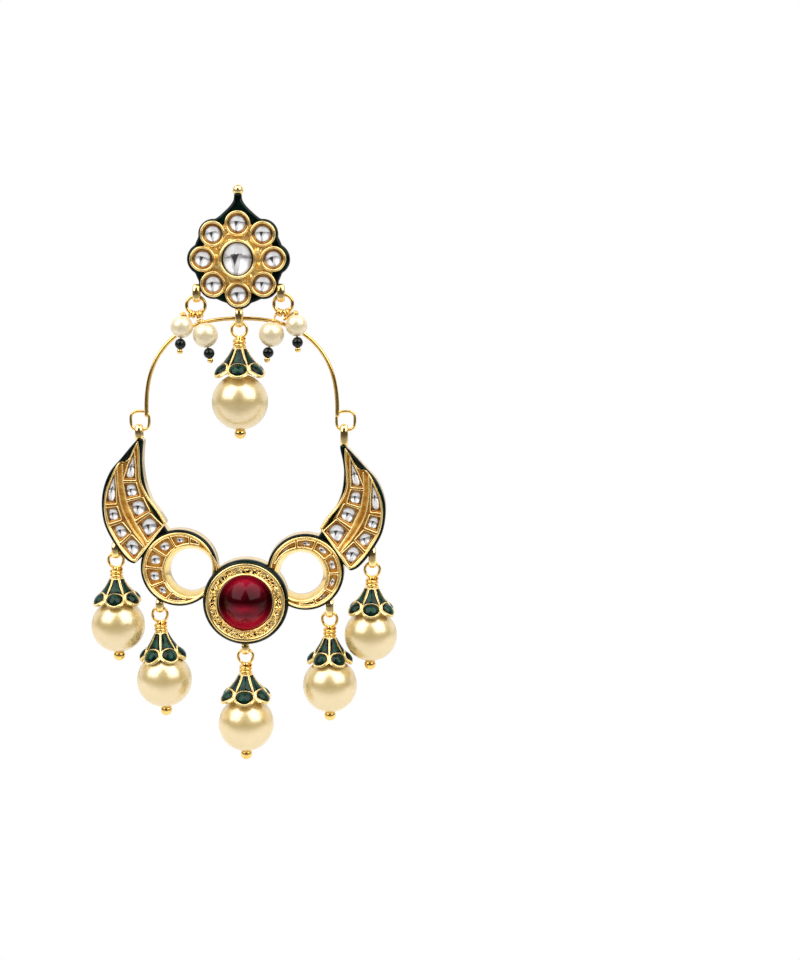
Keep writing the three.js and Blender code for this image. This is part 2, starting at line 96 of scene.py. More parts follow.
class Shape:
    """Points in mm and faces, gathered before they become one object."""

    def __init__(self):
        self.points = []
        self.faces = []
        self.marks = []
        self.count = 0

    def add(self, points, faces, marks=None):
        points = np.asarray(points, float).reshape(-1, 3)
        self.points.append(points)
        self.marks.append(np.full((len(points), 2), 0.5) if marks is None else marks)
        self.faces += [tuple(i + self.count for i in face) for face in faces]
        self.count += len(points)

    def loft(self, loops, closed=True, start="cap", end="cap", wrap=False, marks=None):
        """Bridges equal loops. An end is "cap" (one face), "fan" (to its middle) or None.
        `marks` gives every loop's points their places on a unit square."""
        n = len(loops[0])
        points = np.vstack(loops)
        faces = []
        pairs = [(k, k + 1) for k in range(len(loops) - 1)]
        if wrap:
            pairs.append((len(loops) - 1, 0))
        span = n if closed else n - 1
        for low, high in pairs:
            for i in range(span):
                j = (i + 1) % n
                faces.append((low * n + i, low * n + j, high * n + j, high * n + i))
        extra = []
        if not wrap:
            for kind, k in ((start, 0), (end, len(loops) - 1)):
                ring = [k * n + i for i in range(n)]
                if kind == "cap":
                    faces.append(tuple(ring))
                elif kind == "fan":
                    middle = len(points) + len(extra)
                    extra.append(np.mean(loops[k], axis=0))
                    faces += [(ring[i], ring[(i + 1) % n], middle) for i in range(n)]
        if extra:
            points = np.vstack([points, *extra])
        if marks is not None:
            marks = np.vstack([*marks, np.full((len(extra), 2), 0.5)])
        self.add(points, faces, marks)

    def moved(self, move):
        """The same shape with every point passed through `move`."""
        other = Shape()
        other.points = [move(block) for block in self.points]
        other.faces = self.faces
        other.marks = self.marks
        other.count = self.count
        return other

    def sleeve(self, loops):
        """Bridges closed loops and leaves both ends open."""
        self.loft(loops, start=None, end=None)

    def sheet(self, rows, wrap=False):
        """Bridges open rows of points."""
        self.loft(rows, closed=False, start=None, end=None, wrap=wrap)


CREASE = math.radians(38)  # a sharper edge than this is not smoothed


def piece(name, shape, material, body, slot, *replaces):
    """Makes one object that rides on a body and stands in for CAD nodes. Its slot is not used."""
    mesh = bpy.data.meshes.new(name)
    mesh.from_pydata((np.vstack(shape.points) * MM).tolist(), [], shape.faces)
    bm = bmesh.new()
    bm.from_mesh(mesh)
    bmesh.ops.recalc_face_normals(bm, faces=bm.faces)
    bm.to_mesh(mesh)
    bm.free()
    if material in (KUNDAN, PANEL):
        corners = np.empty(len(mesh.loops), int)
        mesh.loops.foreach_get("vertex_index", corners)
        layer = mesh.uv_layers.new(name="place_on_face")
        layer.data.foreach_set("uv", np.vstack(shape.marks)[corners].ravel())
    mesh.shade_smooth()
    mesh.set_sharp_from_angle(angle=CREASE)
    mesh.materials.append(material)
    made = bpy.data.objects.new(name, mesh)
    bpy.context.scene.collection.objects.link(made)
    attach(made, body)
    if replaces:
        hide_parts(*replaces)


def soldered(body, parts, looks):
    """Makes the pieces of a body's soldered frame. Its back stands in for the whole CAD frame."""
    for part, (material, slot) in looks.items():
        replaced = [body + "_frame"] if part == "back" else []
        piece(f"{body}_{part}", parts[part], material, body, slot, *replaced)


# ---- shared forms ----

def full_turn(count):
    return np.linspace(0, TAU, count, endpoint=False)


def unit(vectors, least=0.0):
    """Each row brought to length one; `least` keeps a row of zeros from dividing by zero."""
    return vectors / (np.linalg.norm(vectors, axis=1)[:, None] + least)


def circle(centre, radius, angle):
    """Points (x, z) on a circle in the front plane."""
    x, z = centre[0] + radius * np.cos(angle), centre[1] + radius * np.sin(angle)
    return np.stack([x, z], axis=1)


def spline(points, per=8, closed=False):
    """A smooth curve through the points (Catmull-Rom), in any number of dimensions."""
    p = np.asarray(points, float)
    n = len(p)
    if closed:
        p = np.vstack([p[-1], p, p[0], p[1]])
    else:
        p = np.vstack([2 * p[0] - p[1], p, 2 * p[-1] - p[-2]])
    curve = []
    for i in range(n if closed else n - 1):
        a, b, c, d = p[i:i + 4]
        for t in np.linspace(0, 1, per, endpoint=False):
            curve.append(0.5 * (2 * b + (c - a) * t + (2 * a - 5 * b + 4 * c - d) * t ** 2
                                + (3 * b - a - 3 * c + d) * t ** 3))
    if not closed:
        curve.append(p[-2])
    return np.array(curve)


def resample(curve, count, closed=False):
    """The same curve as `count` points at even steps along it."""
    curve = np.asarray(curve, float)
    if closed:
        curve = np.vstack([curve, curve[:1]])
    run = np.concatenate([[0], np.cumsum(np.linalg.norm(np.diff(curve, axis=0), axis=1))])
    where = np.linspace(0, run[-1], count, endpoint=not closed)
    return np.stack([np.interp(where, run, curve[:, k]) for k in range(curve.shape[1])], axis=1)


ROUND_END = np.array([0.98, 0.8, 0.45])  # how a wire thins at its rounded ends


def wire(shape, path, radius, up, sides=12, closed=False, wide=1.0):
    """A wire along a path, with rounded ends. `wide` stretches its section along `up`."""
    path = np.asarray(path, float)
    radii = np.full(len(path), float(radius))
    if not closed:
        steps = ROUND_END
        first = path[0] - path[1]
        last = path[-1] - path[-2]
        first, last = first / np.linalg.norm(first), last / np.linalg.norm(last)
        reach = np.sqrt(1 - steps ** 2)
        head = [path[0] + first * radii[0] * r for r in reach[::-1]]
        tail = [path[-1] + last * radii[-1] * r for r in reach]
        radii = np.concatenate([radii[0] * steps[::-1], radii, radii[-1] * steps])
        path = np.vstack([head, path, tail])
    if closed:
        tangent = np.roll(path, -1, axis=0) - np.roll(path, 1, axis=0)
    else:
        tangent = np.gradient(path, axis=0)
    tangent = unit(tangent)
    across = unit(np.cross(tangent, np.asarray(up, float)))
    along_up = np.cross(across, tangent)
    turn = full_turn(sides)
    loops = []
    for p, r, a, u in zip(path, radii, across, along_up):
        loops.append(p + r * (np.cos(turn)[:, None] * a + wide * np.sin(turn)[:, None] * u))
    shape.loft(loops, wrap=closed)


SMALLEST = 1e-4  # radius in mm of a turned shape at its very axis


def lathe(shape, profile, centre, axis, sides=48, vary=None, ends="cap"):
    """Turns (radius, height) points about an axis: heights run along +Y or +Z from centre.
    `vary` maps an angle to a factor on the radius."""
    turn = full_turn(sides)
    loops = []
    for radius, height in profile:
        r = np.full(sides, max(radius, SMALLEST))
        if vary is not None:
            r = r * vary(turn)
        level = np.full(sides, height)
        if axis == "y":
            loop = np.stack([r * np.cos(turn), level, r * np.sin(turn)], axis=1)
        else:
            loop = np.stack([r * np.cos(turn), r * np.sin(turn), level], axis=1)
        loops.append(loop + centre)
    shape.loft(loops, start=ends, end=ends)


def bead(shape, centre, radius, sides=32, bore=0.0):
    """A round bead about Z. A bore leaves a dimple at its two ends."""
    start = math.asin(min(0.99, bore / radius)) if bore else 0.02
    profile = []
    for angle in np.linspace(start, math.pi - start, sides // 2 + 1):
        profile.append((radius * math.sin(angle), -radius * math.cos(angle)))
    if bore:
        dip = 0.25 * bore
        profile.insert(0, (bore * 0.8, profile[0][1] + dip))
        profile.append((bore * 0.8, profile[-1][1] - dip))
    lathe(shape, profile, centre, "z", sides)


def superarc(half, rise, power, start, stop, count):
    """An arc of a superellipse in the front plane, as (x, z)."""
    angle = np.linspace(start, stop, count * 8)
    c, s = np.cos(angle), np.sin(angle)
    x = half * np.sign(c) * np.abs(c) ** (2 / power)
    z = rise * np.sign(s) * np.abs(s) ** (2 / power)
    return resample(np.stack([x, z], axis=1), count)


DEPTH, UP = (0, 1, 0), (0, 0, 1)  # directions


def front(points, depth):
    """(x, z) points set at a depth y."""
    return np.stack([points[:, 0], np.broadcast_to(depth, len(points)), points[:, 1]], axis=1)


def levels(outline_at, steps):
    """Outlines at (distance, depth) steps: `outline_at` makes the one at a distance."""
    return [front(outline_at(distance), depth) for distance, depth in steps]


def leaned(place, lean):
    """A move of points hanging from the origin to their place, leaning sideways by degrees."""
    cos, sin = math.cos(math.radians(lean)), math.sin(math.radians(lean))

    def move(points):
        x, y, z = points.T
        return np.stack([x * cos - z * sin, y, z * cos + x * sin], axis=1) + place
    return move


TINY = 1e-12
SHARPEST = 0.6  # an inset corner runs in no further than its distance over this


def inset(outline, distance):
    """Moves a closed outline (counter-clockwise x, z) inwards."""
    ahead = unit(np.roll(outline, -1, axis=0) - outline, TINY)
    behind = unit(outline - np.roll(outline, 1, axis=0), TINY)
    bend = unit(ahead + behind, TINY)
    inward = np.stack([-bend[:, 1], bend[:, 0]], axis=1)
    side = np.stack([-ahead[:, 1], ahead[:, 0]], axis=1)
    lean = np.clip(np.sum(inward * side, axis=1), SHARPEST, 1)[:, None]
    return outline + inward * distance / lean


def counter_clockwise(outline):
    x, z = outline[:, 0], outline[:, 1]
    area = np.sum(x * np.roll(z, -1) - np.roll(x, -1) * z)
    return outline if area > 0 else outline[::-1]


class Patch:
    """A cell between two edge curves, with a rounded loop at any inset."""

    DEEPEST = 0.46  # the furthest inset, as a part of the cell's size

    def __init__(self, first, second, count=24, corner=0.25, arc=5, long=5, short=5):
        """`corner` is the rounding of its corners, and `arc`, `long` and `short` are the points of
        a corner, a long edge and a short one."""
        self.first = resample(first, count)
        self.second = resample(second, count)
        self.count = count
        self.corner = corner
        self.arc, self.long, self.short = arc, long, short
        self.length = (self.run(self.first) + self.run(self.second)) / 2
        self.width = np.linalg.norm(self.first - self.second, axis=1)

    @staticmethod
    def run(curve):
        return np.sum(np.linalg.norm(np.diff(curve, axis=0), axis=1))

    def at(self, s, t):
        """The point a part s along the cell and a part t across it, from the first edge."""
        where = np.clip(s, 0, 1) * (self.count - 1)
        index = np.arange(self.count)
        a = np.stack([np.interp(where, index, self.first[:, k]) for k in (0, 1)], axis=1)
        b = np.stack([np.interp(where, index, self.second[:, k]) for k in (0, 1)], axis=1)
        return a * (1 - t[:, None]) + b * t[:, None]

    def loop(self, distance, corner=None):
        """A closed loop at an inset, as (x, z)."""
        s0 = min(self.DEEPEST, distance / self.length)
        rounding = max((corner or self.corner) - distance * 0.3, 0.12)
        round_s = min(0.45 * (1 - 2 * s0), rounding / self.length)
        round_t = min(0.45, rounding / np.max(self.width))
        corners = [(1 - s0, 1, 1, 1), (s0, 1, -1, 1), (s0, 0, -1, -1), (1 - s0, 0, 1, -1)]
        s, t = [], []
        for quarter, (cs, ct, ss, st) in enumerate(corners):
            for angle in np.linspace(0, math.pi / 2, self.arc):
                turn = angle + quarter * math.pi / 2
                s.append(cs - ss * round_s + round_s * math.cos(turn))
                t.append(ct - st * round_t + round_t * math.sin(turn))
            ns, nt, nss, nst = corners[(quarter + 1) % 4]
            along = quarter % 2 == 0
            stop = (ns - nss * round_s, nt) if along else (ns, nt - nst * round_t)
            begin = (s[-1], t[-1])
            for part in np.linspace(0, 1, (self.long if along else self.short) + 2)[1:-1]:
                s.append(begin[0] + (stop[0] - begin[0]) * part)
                t.append(begin[1] + (stop[1] - begin[1]) * part)
        s, t = np.array(s), np.array(t)
        width = np.interp(np.clip(s, 0, 1) * (self.count - 1), np.arange(self.count), self.width)
        t0 = np.minimum(self.DEEPEST, distance / np.maximum(width, 1e-3))
        return self.at(s, t0 + t * (1 - 2 * t0))


def rounded(outline, passes):
    """A closed outline with its corners worn away."""
    for _ in range(passes):
        outline = (np.roll(outline, 1, axis=0) + 2 * outline + np.roll(outline, -1, axis=0)) / 4
    return outline


STONE_SIDES = 56
# Loops of a dome from its edge to its top: the part of its width, and the rounding passes.
DOME = [(1, 0), (0.975, 1), (0.94, 3), (0.88, 6), (0.8, 12), (0.7, 20), (0.58, 30), (0.45, 42),
        (0.32, 56), (0.19, 72), (0.08, 90)]


def cabochon(shape, outline, base, rise, foot=0.15, turned=0.0):
    """A smooth dome over a closed outline (x, z), standing out towards -Y. Its points are marked
    with their place on it, from 0 to 1 across and up; `turned` turns those marks."""
    outline = resample(outline, STONE_SIDES, closed=True)
    middle = outline.mean(axis=0)
    cos, sin = math.cos(turned), math.sin(turned)
    away = unit(outline - middle) @ np.array([[cos, sin], [-sin, cos]])
    loops, marks = [front(outline, base + foot)], [0.5 + 0.5 * away]
    for part, passes in DOME:
        ring_points = middle + (rounded(outline, passes) - middle) * part
        loops.append(front(ring_points, base - rise * (1 - part ** 2)))
        marks.append(0.5 + 0.5 * away * part)
    shape.loft(loops, start="cap", end="fan", marks=marks)


# ---- materials ----

def node(tree, kind, inputs=(), **settings):
    """Adds a node. `inputs` maps its sockets to numbers, colours or other nodes' outputs."""
    made = tree.nodes.new("ShaderNode" + kind)
    for key, value in settings.items():
        setattr(made, key, value)
    feed(tree, made, inputs)
    return made


def feed(tree, target, inputs):
    for key, value in dict(inputs).items():
        if isinstance(value, bpy.types.NodeSocket):
            tree.links.new(value, target.inputs[key])
        else:
            colour = isinstance(value, tuple)
            target.inputs[key].default_value = (*value, 1) if colour else value


def new_material(name, **values):
    material = bpy.data.materials.new(name)
    material.use_nodes = True
    shader = material.node_tree.nodes["Principled BSDF"]
    for key, value in values.items():
        shader.inputs[key.replace("_", " ")].default_value = value
    return material, material.node_tree, shader


def coordinates(tree, kind):
    return node(tree, "TexCoord").outputs[kind]


def split(tree, vector):
    """The X, Y and Z of a vector."""
    return node(tree, "SeparateXYZ", {0: vector}).outputs


def object_noise(tree, scale, detail=3.0):
    inputs = {"Vector": coordinates(tree, "Object"), "Scale": scale, "Detail": detail}
    return node(tree, "TexNoise", inputs).outputs["Fac"]


def ranged(tree, value, low, high, start=0.35, stop=0.65):
    """Maps start to low and stop to high, and holds them beyond."""
    inputs = {"Value": value, "From Min": start, "From Max": stop, "To Min": low, "To Max": high}
    return node(tree, "MapRange", inputs).outputs["Result"]


def mixed(tree, factor, first, second):
    """A colour from the first to the second by a factor."""
    return node(tree, "Mix", {0: factor, 6: first, 7: second}, data_type="RGBA").outputs[2]


def maths(tree, kind, *values):
    return node(tree, "Math", enumerate(values), operation=kind).outputs[0]


def length(tree, across, up):
    square = maths(tree, "MULTIPLY", across, across)
    return maths(tree, "SQRT", maths(tree, "ADD", square, maths(tree, "MULTIPLY", up, up)))


def place_on_face(tree):
    """Where a point lies on its own stone or panel: across and up, from -1 to 1."""
    place = split(tree, coordinates(tree, "UV"))
    return [ranged(tree, place[axis], -1, 1, 0, 1) for axis in "XY"]


def bumped(tree, shader, height, distance):
    bump = node(tree, "Bump", {"Height": height, "Distance": distance, "Strength": 1.0})
    tree.links.new(bump.outputs["Normal"], shader.inputs["Normal"])


def gold(name, light, deep, low, high, dents, metallic=1.0):
    """Polished gold: its colour goes from light to deep and its roughness from low to high in
    small clouds, and its hand-worked face is uneven by `dents` micrometres."""
    material, tree, shader = new_material(name, Metallic=metallic)
    tone = ranged(tree, object_noise(tree, 900), 0, 1)
    feed(tree, shader, {"Base Color": mixed(tree, tone, light, deep),
                        "Roughness": ranged(tree, object_noise(tree, 2600, 4), low, high)})
    bumped(tree, shader, object_noise(tree, 1000, 1), dents * MICROMETRE)
    return material


GOLD = gold("gold_polished", (0.98, 0.77, 0.36), (0.93, 0.66, 0.24), 0.12, 0.19, 1.5)
# a paler, rougher gold for the rims and caps; its paleness is painted highlight
RIM_GOLD = gold("gold_rim", (1.0, 0.83, 0.40), (0.99, 0.75, 0.29), 0.2, 0.28, 1, 0.6)
SETTING_GOLD = gold("gold_setting", (1.0, 0.79, 0.36), (0.96, 0.67, 0.24), 0.15, 0.23, 1.2, 0.84)
WIRE_GOLD = gold("gold_wire", (0.90, 0.63, 0.22), (0.84, 0.52, 0.13), 0.1, 0.17, 1)
# painted shade: a darker amber copy of the gold for the floors of recesses and channels, where
# shade falls
PAINTED_SHADE_RECESS_GOLD = gold("gold_recess_painted_shade", (0.92, 0.49, 0.09), (0.58, 0.22, 0.02), 0.22, 0.32, 2, 0.62)
# painted shade: a dark brown copy of the gold for the slopes round stones and the cups, where shade
# falls
PAINTED_SHADE_SLOPE_GOLD = gold("gold_slope_painted_shade", (0.45, 0.215, 0.045), (0.24, 0.085, 0.012), 0.24, 0.34, 2, 0.9)
GROUND_GOLD = gold("gold_ground", (1.0, 0.76, 0.30), (0.92, 0.54, 0.13), 0.18, 0.28, 1.5, 0.6)
PLAIN_GOLD = gold("gold_side", (0.95, 0.75, 0.42), (0.90, 0.68, 0.34), 0.2, 0.3, 2)


def enamel(name, dark, green, scale, shine):
    """Glassy enamel, nearly black, with clouds of green."""
    material, tree, shader = new_material(name, Roughness=0.07, Specular_IOR_Level=shine)
    tone = ranged(tree, object_noise(tree, scale), 0, 1, 0.45, 0.72)
    feed(tree, shader, {"Base Color": mixed(tree, tone, dark, green)})
    bumped(tree, shader, object_noise(tree, 700, 1), 20 * MICROMETRE)
    return material


def panel_enamel():
    """The enamel of the caps: a panel is black at its border and greener towards its middle."""
    material, tree, shader = new_material(
        "enamel_green_panel", Roughness=0.09, Specular_IOR_Level=0.2)
    inside = ranged(tree, length(tree, *place_on_face(tree)), 1, 0, 0.5, 0.86)
    clouds = ranged(tree, object_noise(tree, 1100, 2), 0, 1, 0.38, 0.62)
    green = mixed(tree, clouds, (0.0008, 0.012, 0.008), (0.004, 0.062, 0.036))
    feed(tree, shader, {"Base Color": mixed(tree, inside, (0.0006, 0.0025, 0.002), green)})
    bumped(tree, shader, object_noise(tree, 900, 1), 30 * MICROMETRE)
    return material


ENAMEL = enamel("enamel_green_black", (0.0005, 0.003, 0.0022), (0.001, 0.018, 0.011), 500, 0.13)
PANEL = panel_enamel()
BEAD = enamel("bead_green_black", (0.0004, 0.0025, 0.002), (0.0008, 0.008, 0.006), 400, 0.34)


def painted_foil_reflection(tree, across, up):
    """How dark the painted reflection of the dark studio on a stone's foil is, at a place in halves
    of
    its width and height: 0 above an arched line, grey under it, and black in a wedge that hangs
    from it and at the far side."""
    arch, bend, wobble, grey = 0.4, -0.3, 0.3, 0.6
    wedge_at, wedge_foot, spread, black, soft = -0.18, 0.52, 0.42, 0.96, 0.06
    square = maths(tree, "MULTIPLY", across, across)
    line = maths(tree, "ADD", maths(tree, "MULTIPLY_ADD", square, bend, arch),
                 maths(tree, "MULTIPLY_ADD", object_noise(tree, 900, 1), wobble, -wobble / 2))
    below = maths(tree, "SUBTRACT", line, up)
    under = ranged(tree, below, 0, 1, 0.0, 0.07)
    band = maths(tree, "MULTIPLY", under, ranged(tree, below, grey, 0, 0.2, 0.7))
    half = maths(tree, "MULTIPLY", maths(tree, "ADD", up, wedge_foot), spread)
    off = maths(tree, "ABSOLUTE", maths(tree, "SUBTRACT", across, wedge_at))
    wedge = maths(tree, "MULTIPLY", under,
                  ranged(tree, maths(tree, "SUBTRACT", half, off), 0, black, -soft, soft))
    low = maths(tree, "ABSOLUTE", maths(tree, "ADD", up, 0.2))
    side = maths(tree, "MULTIPLY", ranged(tree, across, 0, 0.7, 0.6, 0.86),
                 ranged(tree, low, 1, 0, 0.25, 0.6))
    return maths(tree, "MAXIMUM", maths(tree, "MAXIMUM", band, wedge), side)


def foiled_glass():
    """Clear glass over a hollow of bright foil. The foil's reflection of the dark studio is painted
    on
    it: grey under an arched line, with a black wedge that points down, and clear silver above and
    below."""
    material, tree, shader = new_material(
        "foiled_glass", Metallic=0.15, Coat_Weight=1.0, Coat_Roughness=0.03)
    across, up = place_on_face(tree)
    clouds = ranged(tree, object_noise(tree, 1100), 0, 1)
    silver = mixed(tree, clouds, (1.0, 0.995, 1.0), (0.97, 0.96, 0.98))
    # painted reflection: the silver foil is darkened where it would mirror the dark studio
    face = mixed(tree, painted_foil_reflection(tree, across, up), silver, (0.012, 0.012, 0.016))
    # painted shade and reflection of the gold bezel: the stone's edge is painted in the colour of
    # the gold round it
    edge = ranged(tree, length(tree, across, up), 0, 0.8, 0.84, 0.98)
    # the slope of the foil's hollow at each place, whose deepest point lies low
    steep_across, steep_up, low = -0.6, -0.4, 0.16
    slope = node(tree, "CombineXYZ", {"X": maths(tree, "MULTIPLY_ADD", across, steep_across, 0),
                                      "Y": -1,
                                      "Z": maths(tree, "MULTIPLY_ADD", up, steep_up, low)})
    turn = node(tree, "VectorTransform", {0: slope.outputs[0]},
                vector_type="NORMAL", convert_from="OBJECT", convert_to="WORLD")
    feed(tree, shader, {"Base Color": mixed(tree, edge, face, (0.30, 0.20, 0.08)),
                        "Roughness": ranged(tree, object_noise(tree, 2500, 2), 0.05, 0.12),
                        "Normal": turn.outputs[0]})
    return material


# The ruby's colours from its darkest to its brightest; the spread from dark to bright red is
# painted light.
RUBY_RED_WITH_PAINTED_LIGHT = [(0.0, (0.022, 0.0, 0.0012)), (0.18, (0.06, 0.0004, 0.004)),
            (0.4, (0.16, 0.0015, 0.011)), (0.7, (0.36, 0.005, 0.026)), (1.0, (0.55, 0.014, 0.045))]


def ruby_glass():
    """Red glass over foil, with painted light: it is painted bright at its upper and lower edges,
    where light passing through it would show, darkest across its middle, and with a small painted
    glow low in the middle."""
    material, tree, shader = new_material(
        "ruby_glass", Roughness=0.15, Specular_IOR_Level=0.26, Specular_Tint=(1.0, 0.42, 0.47, 1))
    centre, radius = centre_of("ruby"), 4.82
    painted_dark_at, sharp, sides, painted_glow_at, painted_glow_most, narrow = 0.06, 1.8, 0.9, -0.16, 0.48, -1.2
    place = split(tree, coordinates(tree, "Object"))
    # from -1 to 1 over its width and height
    across, height = [
        ranged(tree, place[axis], -1, 1, (middle - radius) * MM, (middle + radius) * MM)
        for axis, middle in (("X", centre[0]), ("Z", centre[2]))]
    # painted light: brighter towards the upper and lower edges and in a glow low in the middle,
    # darkest in a band across the middle
    square = maths(tree, "MULTIPLY", across, across)
    away = maths(tree, "MULTIPLY_ADD", square, sides, 1.0)
    off = maths(tree, "ABSOLUTE", maths(tree, "ADD", height, -painted_dark_at))
    rise = maths(tree, "MULTIPLY", maths(tree, "POWER", off, sharp), away)
    painted_glow = maths(tree, "MAXIMUM", maths(tree, "MULTIPLY_ADD", square, narrow, painted_glow_most), 0)
    from_low = maths(tree, "ABSOLUTE", maths(tree, "ADD", height, -painted_glow_at))
    below = maths(tree, "MULTIPLY_ADD", painted_glow, ranged(tree, from_low, 1, 0, 0.04, 0.26), rise)
    uneven = maths(tree, "MULTIPLY_ADD", object_noise(tree, 420, 2), 0.36, -0.18)
    ramp = node(tree, "ValToRGB", {"Fac": maths(tree, "ADD", below, uneven)})
    elements = ramp.color_ramp.elements
    while len(elements) < len(RUBY_RED_WITH_PAINTED_LIGHT):
        elements.new(0.5)
    for element, (at, colour) in zip(elements, RUBY_RED_WITH_PAINTED_LIGHT):
        element.position = at
        element.color = (*colour, 1)
    feed(tree, shader, {"Base Color": ramp.outputs["Color"]})
    return material


def pearl_skin(name, light, warm, metallic, haze, index):
    """Nacre: a warm body with a golden sheen, under a strong but soft white one."""
    material, tree, shader = new_material(
        name, Metallic=metallic, Roughness=0.36, Specular_IOR_Level=0,
        Coat_Weight=1.0, Coat_Roughness=haze, Coat_IOR=index)
    tone = ranged(tree, object_noise(tree, 160, 2), 0, 1)
    feed(tree, shader, {"Base Color": mixed(tree, tone, light, warm)})
    bumped(tree, shader, object_noise(tree, 300, 1), MICROMETRE)
    return material


KUNDAN = foiled_glass()
RUBY = ruby_glass()
PEARL = pearl_skin("pearl_cream", (0.77, 0.59, 0.25), (0.73, 0.54, 0.20), 0.38, 0.27, 2.8)
SMALL_PEARL = pearl_skin("pearl_small", (0.84, 0.71, 0.45), (0.79, 0.65, 0.38), 0.25, 0.34, 2.3)


# ---- the crescent: local (x, z) about its own middle, leaning in place ----

LEAN = -1.9
HANG_Y = centre_of("hoop_wire")[1]
DISC = {"x": 0.82, "z": -5.62, "radius": 7.7}

ruby_at = centre_of("ruby")
disc_from_middle = leaned(np.zeros(3), LEAN)(np.array([[DISC["x"], 0, DISC["z"]]]))[0]
on_crescent = leaned(np.array([ruby_at[0], HANG_Y, ruby_at[2]]) - disc_from_middle, LEAN)

WING_OUTER = [(19.3, 22.2), (21.6, 19.6), (24.0, 16.7), (25.35, 12.6), (25.0, 7.8), (22.9, 3.7),
              (20.9, 1.2), (19.4, 0.4)]
WING_INNER = [(17.5, 22.8), (17.8, 20.4), (17.95, 18.0), (17.5, 14.6), (16.2, 11.3), (14.1, 7.6)]
WING_TIP = (18.3, 23.1)
WING_ROOT = (13.2, 6.2)
TIP_LEAN = {"by": -0.7, "from": 10, "to": 23.1}

# Cells of a wing, each by its two long edges, out from the middle and up.
WING_CELLS = [
    ([(19.28, 20.97), (20.53, 18.36), (21.55, 15.45)],
     [(19.18, 20.97), (19.07, 18.41), (19.13, 15.53)]),
    ([(21.5, 15.2), (21.0, 11.98)], [(19.06, 15.28), (18.34, 12.73)]),
    ([(20.9, 11.77), (19.33, 8.28)], [(17.9, 12.7), (16.58, 10.06)]),
    ([(19.13, 7.82), (17.01, 4.47)], [(16.63, 9.83), (14.3, 7.6)]),
    ([(22.89, 17.0), (24.34, 14.26), (24.75, 11.07)],
     [(22.84, 17.0), (22.62, 14.18), (22.63, 11.23)]),
    ([(24.72, 10.56), (24.0, 7.55)], [(22.47, 10.9), (21.62, 8.4)]),
    ([(23.85, 7.2), (22.0, 4.12)], [(21.56, 8.1), (19.9, 6.15)]),
    ([(21.88, 3.81), (19.36, 0.96)], [(19.84, 5.89), (17.63, 3.65)]),
]
SPINE = ([(22.4, 17.79), (22.36, 14.45), (21.69, 10.62), (19.87, 6.94), (17.51, 3.86)],
         [(21.44, 18.33), (21.43, 14.99), (20.63, 11.16), (19.41, 8.38), (17.11, 4.28)])

# The gold face of a wing stops short of its silhouette, most of all beside the tip.
WING_FACE = ([(18.5, 22.6), (19.45, 21.1), (20.25, 19.5), (21.2, 18.75), (22.1, 18.7),
              (23.4, 16.5), (24.8, 12.55), (24.5, 8.0), (22.45, 4.05), (20.45, 1.55), (19.1, 0.8)],
             [(18.35, 22.6), (18.25, 20.8), (18.35, 18.2), (18.15, 15.3), (16.9, 12.6),
              (15.15, 10.3), (13.7, 8.1)])
TIP_ENAMEL = [(18.35, 23.0), (19.3, 22.1), (20.5, 20.8), (21.55, 19.55), (22.5, 18.4),
              (21.9, 18.75), (21.1, 18.85), (20.35, 19.6), (19.55, 21.1), (18.65, 22.5)]
WING_LOOP = {"count": 90, "corner": 0.3, "arc": 6, "long": 64, "short": 10}

# Steps of walls and lips: (inset from the outline, depth).
GOLD_WALL = [(0.12, 1.9), (-0.04, 1.74), (-0.04, 0.8), (0, -0.2), (0.02, -0.55), (0.08, -0.66),
             (0.3, -0.66)]
ENAMEL_WALL = [(0.3, -0.2), (0.1, -0.5), (0.03, -0.64), (0.03, -0.8), (0.05, -1.06), (0.12, -1.26),
               (0.26, -1.4), (0.44, -1.46), (0.6, -1.42), (0.64, -1.2), (0.64, -0.9)]
FACE_WALL = [(0.4, 1.8), (0.12, 1.8), (0.04, 1.7), (0.04, -0.45), (0.3, -0.45)]
FACE_ENAMEL = [(0.3, -0.4), (0.06, -0.42), (0.02, -0.6), (0.02, -1.25)]
FACE_LIP = [(0.0, -0.9), (-0.03, -1.48), (0.02, -1.62), (0.12, -1.71), (0.24, -1.73),
            (0.36, -1.66), (0.43, -1.52), (0.46, -1.2), (0.48, -0.9)]
FACE_GROUND = [(0.3, -0.8), (0.3, -1.02)]
CELL_RIM = [(-0.1, -1.0), (-0.1, -1.48), (-0.085, -1.57), (-0.045, -1.64), (0.02, -1.68),
            (0.08, -1.65), (0.12, -1.58), (0.14, -1.48)]
CELL_SLOPE = [(0.11, -1.56), (0.16, -1.44), (0.28, -1.24), (0.42, -1.12), (0.6, -1.08)]
# Steps of the channel between the rows of cells: (part across it, depth).
TROUGH = [(-0.15, -1.2), (-0.08, -1.6), (0.04, -1.62), (0.2, -1.5), (0.5, -1.4), (0.8, -1.5),
          (0.96, -1.62), (1.08, -1.6), (1.15, -1.2)]
TROUGH_WIRE = {"depth": -1.6, "radius": 0.12}


def on_wing(side, points):
    """Points (x, z) of the right wing put on either side; the tips lean to the left."""
    points = np.asarray(points, float)
    climb = (points[:, 1] - TIP_LEAN["from"]) / (TIP_LEAN["to"] - TIP_LEAN["from"])
    lean = TIP_LEAN["by"] * np.clip(climb, 0, None) ** 2
    return np.stack([side * points[:, 0] + lean, points[:, 1]], axis=1)


def cell(patch, parts, rim=0.2, growth=0.17, wear=22, base=-1.14, rise=0.14, turned=0.3):
    """A cell's rim and slope, and its stone where there is room for one. The rim left round the
    stone grows with the cell, as its rise does, and its marks are turned a little at random."""
    wide = np.median(patch.width) / 2
    rim += growth * wide
    parts["cells"].sleeve(levels(patch.loop, CELL_RIM))
    parts["slopes"].loft(levels(patch.loop, CELL_SLOPE), start=None, end="fan")
    if wide > rim + 0.07:
        edge = rounded(resample(patch.loop(rim, 0.6), STONE_SIDES, closed=True), wear)
        rise += rise * min(1.5, wide - rim)
        cabochon(parts["glass"], edge, base, rise, turned=random.uniform(-turned, turned))


